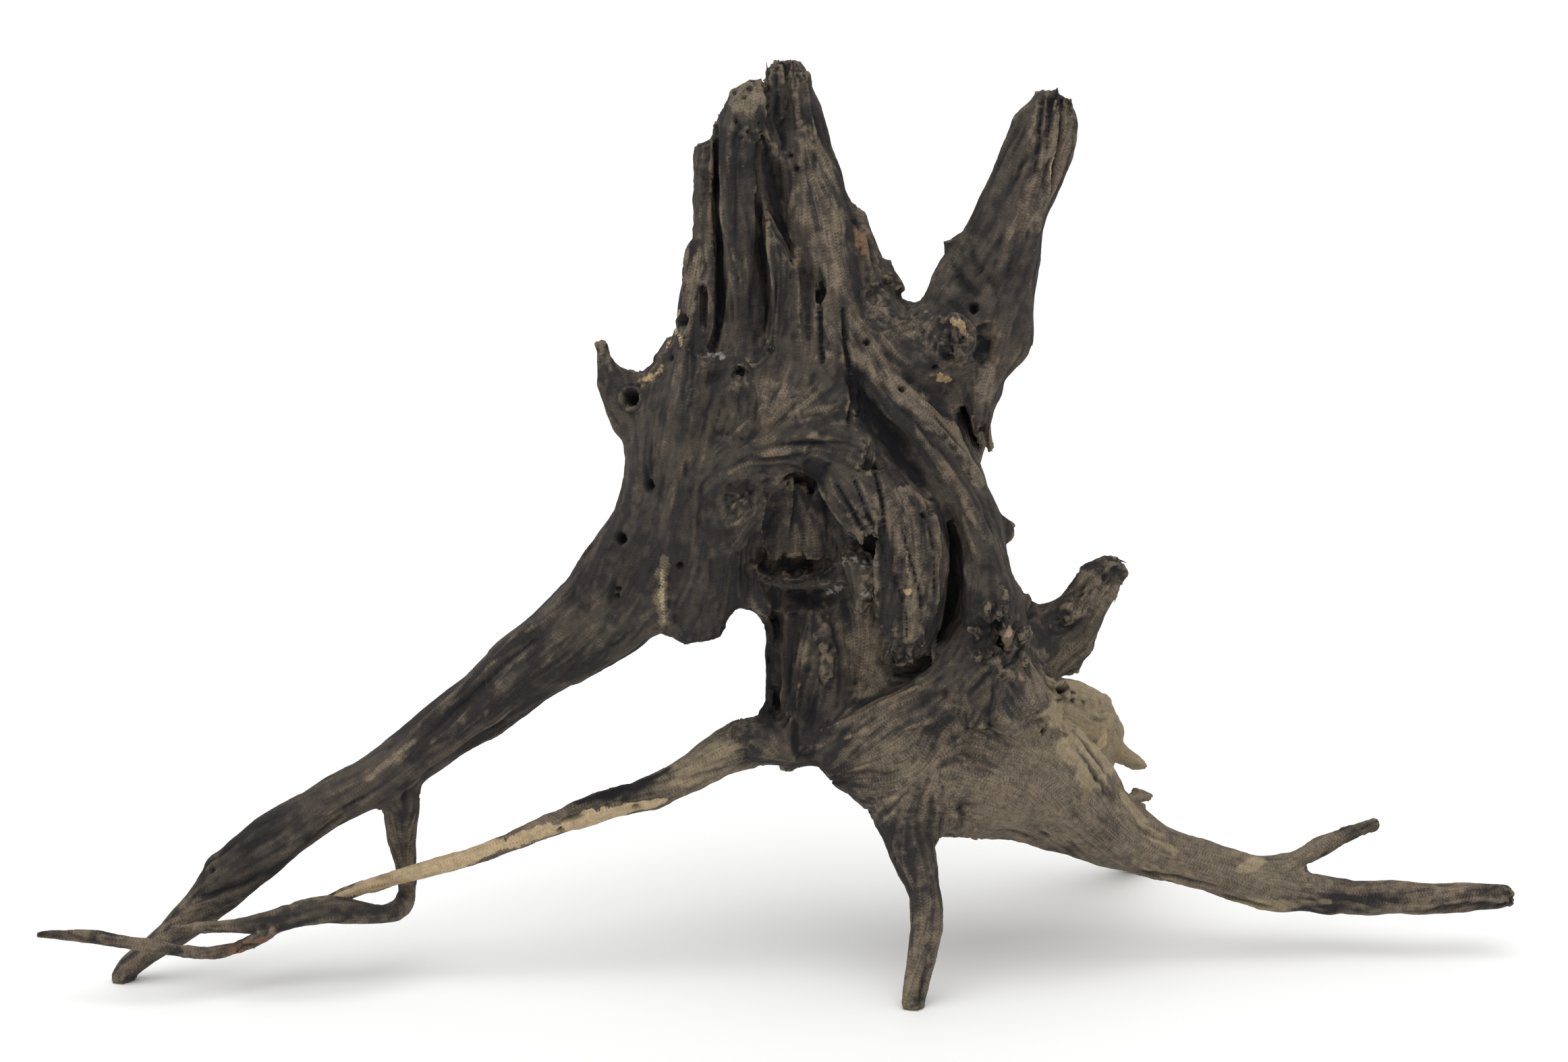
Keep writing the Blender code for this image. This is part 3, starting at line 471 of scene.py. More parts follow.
RIBS: tuple[tuple[Station, ...], ...] = (
    ((-5.4, 96.6, -16, 0.5, 0.9), (-4.4, 91, -17, 1.7, 2), (-3.0, 84, -18, 3.0, 3),
     (-1.6, 77, -19, 3.6, 3.4),
     (-1.8, 69, -20, 3.3, 3.4), (-2.8, 61, -21, 2.6, 3), (-4, 54, -22, 1.8, 2)),
    ((-18.2, 123.4, -5, 1.6, 4), (-17.4, 114, -9, 2.6, 6), (-17, 102, -11, 3, 5), (-16.6, 88, -12, 2.6, 5)),
    ((-13.0, 130.6, -4, 1.6, 4), (-14, 124, -7, 3.6, 6), (-14, 114, -10, 4, 6)),
    ((-8.2, 133, -4, 1.4, 4), (-8.8, 127, -6, 2.4, 5), (-9.4, 118, -9, 2.4, 5)),
    ((-1.6, 139.2, -1, 1.8, 4), (-2, 131, -2, 2.6, 5), (-1, 122, -4, 2, 4)),
    ((2.6, 138.8, -1, 1.6, 4), (3.4, 131, -3, 2.4, 5), (5, 120, -6, 2.4, 4)),
    ((6.2, 135.4, -2, 1.2, 3), (7.2, 127, -4, 2, 4), (9, 117, -6, 2, 4)),
    ((21.2, 94.6, -1, 2.3, 3), (22.2, 88, -3, 3, 4), (24, 80, -6, 3.4, 4.4), (27, 72, -9, 3, 4)),
    ((25.4, 87.6, 0, 1.5, 3), (27, 80, -2, 2.6, 4), (29.6, 73, -6, 3, 4)),
    ((30.6, 80, 0, 0.9, 2.2), (32.2, 75.4, -2, 1.7, 3), (34.6, 71.4, -6, 1.5, 2.4)),
    ((-5.8, 131.6, -2, 1.2, 3), (-5.0, 127, -3, 2.2, 4), (-4.4, 119, -6, 2.4, 4)),
    ((-27.6, 85.2, -6, 0.5, 1.2), (-28.2, 80, -8, 1.3, 2.2), (-28.6, 71, -11, 1.8, 3),
     (-29.4, 62, -12, 1.6, 3)),
    ((73.8, 126.4, 1, 1.1, 3.4), (72.6, 119, 0, 2.0, 4.4), (70, 107, -2, 2.2, 5)),
    ((77.8, 130.0, 1, 1.0, 3.4), (77.0, 122, -1, 1.6, 4.4), (74.6, 108, -3, 2.0, 4.6)),
    ((80.8, 131.4, 1, 0.9, 3), (80.4, 123, -2, 1.5, 4), (78.6, 110, -4, 2.0, 4.4)),
    ((84.6, 128.4, 2, 1.1, 3.4), (85.0, 121, 1, 1.9, 4.6), (82, 108, 0, 2.4, 5), (76.4, 94, -1, 2, 4)),
    ((9.6, 19.4, -25, 0.9, 1.2), (13.0, 12.6, -26.5, 2.6, 1.4), (17.2, 6.4, -28, 3.2, 1.4),
     (21.6, 0.6, -29, 2.4, 1.2)),
    ((14, 21, -26.6, 3, 1.4), (19.0, 13.6, -28.4, 5.6, 1.4), (23.6, 5, -29.6, 5.8, 1.4),
     (26.2, -0.8, -29.8, 4, 1.2)),
    ((25, 18, -27, 3.6, 1.4), (27, 10, -28.4, 4.2, 1.4), (28.6, 2, -29.3, 3.6, 1.2),
     (29.2, -2.6, -29.4, 2.2, 1.0)),
    ((20.6, 2.6, -30.2, 1.2, 0.8), (22.4, -1.2, -30.6, 1.2, 0.8), (23.2, -4.2, -30.4, 0.5, 0.5)),
    ((27.0, 1.6, -30.4, 1.1, 0.8), (28.0, -2.4, -30.6, 1.1, 0.8), (28.2, -5.4, -30.2, 0.4, 0.4)),
    ((0.4, 16, -21, 2.4, 1.2), (-0.6, 6, -16, 3.4, 1.4), (-2.6, -4, -13.4, 3.0, 1.4),
     (-3.0, -8.6, -12.5, 1.9, 1.0)),
    ((4.4, 14, -17, 2.8, 1.2), (3.6, 6, -13.2, 4.0, 1.4), (2.8, -3, -12.0, 4.0, 1.4),
     (2.6, -7.6, -11.6, 2.4, 1.0)),
    ((11.4, 14, -16, 2.4, 1.2), (10.4, 6, -13.4, 3.6, 1.4), (9.4, -3, -12.2, 3.8, 1.4),
     (9, -8.4, -11.8, 2.4, 1.0)),
    ((14.4, 8, -14, 1.6, 1.2), (14.6, 0, -11.6, 2.2, 1.2), (14.4, -8, -11.8, 1.8, 1.0)),
    ((-8.6, -21.6, -10, 1.6, 2.4), (-5.4, -26, -5, 1.8, 2.6), (-3.6, -33, -2, 1.2, 2)),
    ((-3.6, -47, -3, 1.0, 2), (-4.6, -52, -6, 1.6, 2.6), (-6.6, -56.6, -11, 2.0, 3)),
    ((1, -24, -9, 1, 1.4), (1.4, -34, -8, 1.5, 1.8), (0.6, -46, -8, 1.6, 2), (-0.4, -56, -10, 1.4, 2)),
    ((-7.6, -12.6, -20, 0.9, 1.0), (-1, -15.6, -19.4, 1.2, 1.1), (5, -15.8, -17.4, 1.2, 1.0),
     (12, -12.6, -15.6, 1.0, 0.8),
     (17, -8, -14.6, 0.9, 0.8)),
    ((28.6, 19, -26, 2.0, 1.6), (30.6, 9, -27.8, 4.0, 1.7), (32.2, -1, -28.6, 5.4, 1.7),
     (32.4, -13, -28.8, 5.8, 1.7),
     (32.6, -24, -28, 5.2, 1.7), (33, -30.6, -26, 4.4, 1.6), (33.6, -34.6, -24.6, 2.2, 1.0)),
    ((36.6, 14, -28.4, 3.0, 1.1), (39, 3, -29.6, 4.4, 1.2), (39.2, -12, -29.8, 4.8, 1.2),
     (38.2, -24, -29.2, 4.4, 1.2),
     (37, -33, -26.6, 2.2, 1.1)),
    ((43, 5, -28.0, 2.0, 1.1), (44.4, -8, -28.8, 2.8, 1.1), (44, -20, -28.4, 2.6, 1.1),
     (42.4, -28, -26.8, 1.6, 1.0)),
    ((30.4, -29, -27, 1.5, 1), (30.2, -34, -25.4, 1.3, 0.9), (29.2, -38.6, -23.4, 0.5, 0.5)),
    ((33.6, -30, -26.6, 1.6, 1), (34, -35.4, -24.8, 1.4, 0.9), (33.4, -40.4, -22.6, 0.6, 0.5)),
    ((37.2, -30, -27, 1.6, 1), (37.6, -35, -25.4, 1.3, 0.9), (38.4, -39.4, -23.6, 0.5, 0.5)),
    ((40.6, -27, -27.6, 1.3, 1), (41.4, -31, -26.6, 1.1, 0.9), (41.2, -34.6, -25.4, 0.5, 0.5)),
    ((-190, -123, -33.5, 1.6, 1.3), (-204, -121, -33, 1.5, 1.3), (-214, -119.8, -32.5, 1.4, 1.2),
     (-221.4, -119.4, -32, 1.0, 1.0)),
    ((103, -78.4, 0, 2.4, 2.4), (106.4, -78.6, -1, 1.6, 1.6), (109, -78.8, -2, 1.0, 1.0)),
    ((-155, -118.6, -34, 1.3, 1.3), (-159, -121.8, -34, 1.2, 1.0), (-163, -125.2, -34, 0.5, 0.5)),
    ((-151, -118.0, -34, 1.2, 1.2), (-155, -121.4, -34, 1.1, 1.0), (-158, -124.2, -34, 0.5, 0.5)),
    ((59.6, 34, -9, 1.8, 1.6), (60.4, 29, -9, 1.1, 1.1), (61.2, 23.4, -9, 0.75, 0.75)),
    ((46.6, 62.8, -16.5, 1.2, 2.2), (50.2, 62.6, -18.5, 2.6, 3.2), (53.4, 59, -20.6, 2.8, 3.6),
     (53.8, 53.8, -20.6, 2.4, 3.4),
     (51.6, 49.4, -19, 1.2, 2.2)),
    ((49.4, 58.6, -18.6, 1.2, 1.6), (49.8, 55, -19.6, 1.8, 2.2), (49.6, 52, -19, 1.0, 1.6)),
    ((65.4, -16, -29, 0.5, 0.7), (65.2, -20, -29.6, 1.1, 1.2), (64.4, -25, -29, 2.1, 1.8)),
    ((59.4, -27, -28, 1.9, 1.8), (60.4, -23.6, -31, 1.2, 1.2), (60.8, -21, -32, 0.4, 0.5)),
    ((58.6, -31, -28, 2.0, 1.8), (56.4, -29.6, -31, 1.3, 1.2), (54.6, -28.8, -32, 0.4, 0.5)),
    ((60.4, -36, -28, 2.0, 1.8), (57.8, -37, -31, 1.4, 1.2), (56.2, -38, -31.8, 0.5, 0.5)),
    ((64.6, -39, -28, 2.2, 1.8), (64.4, -41.6, -31, 1.5, 1.2), (63.6, -43.4, -31.8, 0.6, 0.6)),
    ((70.2, -32, -26, 2.2, 2.4), (71.8, -30.6, -30, 1.7, 1.6), (72.4, -28.6, -31.6, 0.8, 0.8)),
    ((70, -37, -26, 2.0, 2.2), (71.4, -38.8, -29.6, 1.4, 1.4), (72, -40.4, -30.6, 0.5, 0.5)),
    ((87.8, -12.6, 0, 1.4, 2.4), (91.6, -11.4, 0, 2.4, 3), (95.6, -10.4, 0, 2.8, 3),
     (98.8, -9.6, 0, 1.6, 2.2)),
    ((95.4, -12, 0, 2.8, 3), (96.4, -16, 0, 2.8, 3), (93, -22.6, 0, 2.4, 3)),
    ((88.4, -13.6, 0, 1.9, 2.6), (86.8, -18.6, 0, 3.0, 3), (83.6, -24, 0, 4, 3.4)),
    ((93, -13.6, 0, 3.6, 3.2), (91, -19, 0, 4.6, 3.6), (87, -26, 0, 5, 4)),
    ((92, -16, -3.2, 1.1, 1.2), (88.4, -21, -4.4, 1.3, 1.4), (83.6, -27, -7, 1.2, 1.4)),
)

BORER_HOLES: tuple[tuple[float, float, float], ...] = (
    (-40.2, 13.6, 1.5),
    (-48.4, -2.2, 1.5),
    (-49.4, -17.4, 0.8),
    (-49.6, -19.6, 0.8),
    (56.4, 66.2, 1.3),
    (-45.4, 39.4, 2.2),
    (-30.4, 62.4, 1.5),
    (82.6, -47, 1.5),
    (41.6, 4.6, 0.9),
    (-12.0, 128.6, 0.5),
    (-14.4, 121.6, 0.6),
    (-10.8, 118.6, 0.6),
    (-7.2, 121.2, 0.5),
    (-12.6, 116.4, 0.5),
    (1.8, 111.4, 0.8),
    (3.4, 107.6, 0.7),
)


class Cut(Enum):
    """What a stroke of the carver does."""

    GROOVE = "groove"
    CRACK = "crack"
    RIDGE = "ridge"
    LUMP = "lump"
    STUB = "stub"
    WEAR = "wear"


@dataclass(frozen=True)
class Stroke:
    """One stroke of the carver, drawn on the wood as the front view shows it, or the view from behind."""

    cut: Cut
    points: tuple[ViewPoint, ...]
    width: float
    height: float
    behind: bool = False


STROKES: tuple[Stroke, ...] = (
    Stroke(Cut.CRACK, ((17.5, 68.6), (18.3, 55.8), (20.2, 42), (19.1, 30)), 1.6, 2.8),
    Stroke(Cut.CRACK, ((10.4, 66), (10.8, 55.8), (11.6, 48)), 1.3, 1.8),
    Stroke(Cut.RIDGE, ((2.6, 84), (3.8, 72), (4.6, 55)), 1.6, 1.1),
    Stroke(Cut.GROOVE, ((4.8, 84), (6.2, 72), (7.4, 55)), 1.8, 1.0),
    Stroke(Cut.GROOVE, ((6, 128), (9, 112), (13, 92), (16, 76)), 2.2, 0.6),
    Stroke(Cut.GROOVE, ((-14, 116), (-13.6, 96), (-13, 74)), 2.0, 0.5),
    Stroke(Cut.RIDGE, ((-25.1, 48.4), (-20.3, 51), (-15, 52), (-10.5, 50.6), (-9.4, 46)), 2.6, 0.7),
    Stroke(Cut.RIDGE, ((-10, 44.6), (-15.1, 42.4), (-23.7, 40.4), (-31.1, 40.8)), 3.4, 0.6),
    Stroke(Cut.GROOVE, ((-14, 46.8), (-19, 46), (-25, 44.6), (-31, 44)), 2.6, 0.9),
    Stroke(Cut.GROOVE, ((-7, 42), (-14, 38), (-24, 35.6), (-34, 36)), 3.0, 0.6),
    Stroke(Cut.WEAR, ((22, 24), (28, 22), (29, 19)), 5.0, 1.0),
    Stroke(Cut.WEAR, ((-21, 10), (-16, 17), (-6, 22), (6, 24), (16, 24), (22, 22)), 6.0, 1.0),
    Stroke(Cut.RIDGE, ((1.5, 43), (-8.1, 35), (-16.1, 27), (-24.1, 19), (-28.9, 9.4)), 2.6, 0.7),
    Stroke(Cut.GROOVE, ((6, 40), (-3, 31.6), (-12, 26.6), (-20, 18)), 2.2, 0.7),
    Stroke(Cut.RIDGE, ((-20.9, 9.4), (-16.1, 17.4), (-8.1, 21.4), (1.5, 23), (11.1, 22.5), (20.7, 20.6),
                       (30, 13)), 1.6, 0.6),
    Stroke(Cut.RIDGE, ((-24.1, 12.6), (-17.7, 22.2), (-6.5, 27), (7.9, 28.6), (17.5, 26.2),
                       (28, 18)), 2.2, 0.4),
    Stroke(Cut.RIDGE, ((19.6, 40), (20.4, 32), (24, 25), (30, 18)), 2.0, 0.8),
    Stroke(Cut.GROOVE, ((-20, 16), (-13, 22), (-4, 25), (8, 26), (17, 24)), 1.6, 0.8),
    Stroke(Cut.RIDGE, ((23.9, 49.4), (31.9, 41.4), (41.5, 33.4), (49.5, 25.4), (57.5, 15.8),
                       (59.1, 7.8)), 3.2, 1.4),
    Stroke(Cut.GROOVE, ((27.1, 55.8), (36.7, 46.2), (46.3, 36.6), (54.3, 30.2)), 2.2, 1.0),
    Stroke(Cut.GROOVE, ((36, 44), (44, 38), (50, 33)), 1.4, 0.8),
    Stroke(Cut.LUMP, ((27.9, 66.2),), 5.0, 1.1),
    Stroke(Cut.GROOVE, ((58.8, 62), (60, 54), (58.8, 47)), 5.0, 2.4),
    Stroke(Cut.GROOVE, ((50, 79), (53.6, 72.6), (58, 69.6)), 2.2, 1.1),
    Stroke(Cut.GROOVE, ((54, 86), (57, 79), (62, 73), (64, 66)), 2.0, 1.0),
    Stroke(Cut.RIDGE, ((47, 73), (52, 68), (55, 63)), 2.4, 0.9),
    Stroke(Cut.GROOVE, ((66, 96), (64, 86), (62, 76)), 1.6, 0.7),
    Stroke(Cut.GROOVE, ((74, 108), (71, 96), (68, 84), (66, 72)), 1.6, 0.7),
    Stroke(Cut.RIDGE, ((79, 106), (76, 92), (73.6, 80), (72, 68)), 2.0, 0.8),
    Stroke(Cut.RIDGE, ((41, 66), (46, 62), (50, 63.6)), 2.6, 1.0),
    Stroke(Cut.GROOVE, ((40, 60), (43.6, 56), (43, 50), (46, 46.6)), 1.8, 1.0),
    Stroke(Cut.GROOVE, ((46.8, 58.4), (48.4, 55), (49.6, 51.6)), 3.4, 2.4),
    Stroke(Cut.LUMP, ((51.0, 62.0),), 2.6, 1.2),
    Stroke(Cut.LUMP, ((47.8, 45.8),), 2.6, 1.0),
    Stroke(Cut.STUB, ((-31.0, 61.6),), 2.8, 1.2),
    Stroke(Cut.STUB, ((-45.4, 39.4),), 4.6, 1.8),
    Stroke(Cut.STUB, ((64.6, -32.0),), 7.0, 2.4),
    Stroke(Cut.STUB, ((84.6, -24.4),), 4.6, 1.0),
    Stroke(Cut.STUB, ((82.6, -47.0),), 3.4, 1.6),
    Stroke(Cut.CRACK, ((-15.6, 14.6), (-17.4, 10), (-15.6, 5.2)), 1.3, 0.5),
    Stroke(Cut.CRACK, ((-11.4, 14), (-9.6, 10), (-11.6, 5.6)), 1.3, 0.5),
    Stroke(Cut.RIDGE, ((-13.4, 14), (-13.8, 10), (-13.4, 6)), 1.6, 0.4),
    Stroke(Cut.GROOVE, ((-33.8, -7), (-34.4, -16), (-34, -27)), 1.5, 0.8),
    Stroke(Cut.RIDGE, ((-36.4, -7), (-37.6, -16), (-36.6, -28)), 1.5, 0.8),
    Stroke(Cut.RIDGE, ((-5.6, 13.2), (-7.4, 2.4), (-6.4, -6.6), (-9.2, -12), (-2, -18.2)), 1.8, 1.0),
    Stroke(Cut.CRACK, ((32.2, -12.6), (35.8, -24.6), (36.0, -35.4)), 1.3, 1.0),
    Stroke(Cut.CRACK, ((34.4, 2), (37.4, -8.6), (40.4, -20), (41, -29)), 1.3, 1.1),
    Stroke(Cut.CRACK, ((41.2, 7), (44.4, -5.6), (44.8, -21)), 1.3, 1.0),
    Stroke(Cut.CRACK, ((28.6, 4), (29.4, -8), (29, -20)), 1.3, 0.9),
    Stroke(Cut.CRACK, ((26.4, 20), (29, 9), (30.6, -2.4)), 1.3, 2.2),
    Stroke(Cut.CRACK, ((15, 15), (20, 6), (24.4, -1)), 1.3, 1.4),
    Stroke(Cut.CRACK, ((20, 17), (23.6, 8), (26.8, 0)), 1.3, 1.2),
    Stroke(Cut.RIDGE, ((7, -60.6), (21.4, -55.2), (35.8, -48), (47.4, -43.4)), 1.8, 1.1),
    Stroke(Cut.GROOVE, ((9, -63), (22, -58), (36, -51), (46, -46.6)), 1.8, 0.9),
    Stroke(Cut.RIDGE, ((32, -59.6), (40, -57), (45, -55.4)), 1.8, 0.8),
    Stroke(Cut.GROOVE, ((36, -53.4), (44, -51), (50, -48)), 4.0, 1.4),
    Stroke(Cut.RIDGE, ((50.2, -57), (53.8, -71.4), (50.2, -82.2)), 2.6, 0.9),
    Stroke(Cut.RIDGE, ((61, -55.2), (75.4, -58.8), (86.2, -49.8)), 2.6, 1.0),
    Stroke(Cut.RIDGE, ((68.2, -71.4), (79, -66), (88, -57)), 2.6, 0.9),
    Stroke(Cut.GROOVE, ((64, -60), (76, -63), (86, -56)), 2.4, 0.8),
    Stroke(Cut.GROOVE, ((71.8, -85.8), (88, -78.6), (97, -67.8)), 2.4, 0.8),
    Stroke(Cut.GROOVE, ((56, -64), (60, -76), (72, -86), (90, -90)), 2.4, 0.7),
    Stroke(Cut.RIDGE, ((60, -36), (66, -42), (76, -45)), 2.4, 0.9),
    Stroke(Cut.GROOVE, ((-100, -62), (-118, -73), (-138, -83)), 3.0, 1.1),
    Stroke(Cut.RIDGE, ((-72, -27), (-82, -34), (-92, -44), (-104, -55), (-116, -65)), 3.4, 1.5),
    Stroke(Cut.GROOVE, ((-66, -26), (-79, -35.4), (-90, -46.4), (-102, -57.6), (-112, -65.6)), 2.6, 1.5),
    Stroke(Cut.RIDGE, ((-58, -28), (-74, -41), (-88, -53), (-102, -63.4)), 4.4, 1.3),
    Stroke(Cut.GROOVE, ((-56, -36), (-70, -47), (-84, -57), (-98, -66)), 2.4, 0.9),
    Stroke(Cut.LUMP, ((-152, -82),), 7.0, 1.2),
    Stroke(Cut.GROOVE, ((-140, -86), (-152, -91), (-162, -97)), 3.0, 1.0),
    Stroke(Cut.CRACK, ((33, 38), (40, 31.6), (46, 23)), 1.4, 1.0),
    Stroke(Cut.GROOVE, ((80.4, -47.2), (83.4, -46.8), (86.4, -47.6)), 2.0, 1.4),
    Stroke(Cut.CRACK, ((76.2, 128), (75.6, 118), (74, 104)), 1.5, 1.5),
    Stroke(Cut.CRACK, ((79.2, 128), (78.6, 120), (77.6, 112)), 1.4, 1.3),
    Stroke(Cut.CRACK, ((82.4, 127), (81.2, 114), (78.4, 97)), 1.5, 1.5),
    Stroke(Cut.CRACK, ((43, 36), (49, 29), (54, 20), (56, 12)), 1.4, 0.9),
    Stroke(Cut.RIDGE, ((36, 39), (43, 32), (49, 23)), 2.4, 0.9),
    Stroke(Cut.GROOVE, ((50, 12), (52, 0), (56, -12)), 3.0, 1.0),
    Stroke(Cut.RIDGE, ((54, 8), (56, -4), (60, -14)), 2.6, 0.9),
    Stroke(Cut.LUMP, ((-73.6, -22.4),), 4.0, 1.4),
    Stroke(Cut.LUMP, ((-170, -98),), 5.0, 1.0),
    Stroke(Cut.GROOVE, ((30, 70), (26, 40), (20, 10), (10, -20)), 4.0, 1.6, True),
    Stroke(Cut.GROOVE, ((-6, 60), (-2, 30), (0, 0), (-8, -30)), 3.4, 1.4, True),
    Stroke(Cut.STUB, ((14, 30),), 6.0, 2.4, True),
    Stroke(Cut.STUB, ((-30, 10),), 4.6, 1.8, True),
    Stroke(Cut.RIDGE, ((40, 40), (38, 10), (46, -20), (60, -44)), 3.6, 1.4, True),
)


@dataclass(frozen=True)
class Patch:
    """A patch of colour or of flaking, drawn on the wood as the front view shows it."""

    points: tuple[ViewPoint, ...]
    width: float
    strength: float = 1.0


class Tone(Enum):
    """What the wood's surface carries besides its shape, each kept as an attribute of its own."""

    BARE_AND_HIGHLIGHT = "bare_and_highlight"
    # The dark tone is mostly painted shade laid into cracks, clefts, furrows, holes and hollows; it also
    # carries real dark bark and stains.
    DARK = "dark"
    CRUST = "crust"
    POWDER = "powder"
    REDDISH = "reddish"
    TAN = "tan"
    OLIVE = "olive"
    FLAKY = "flaky"


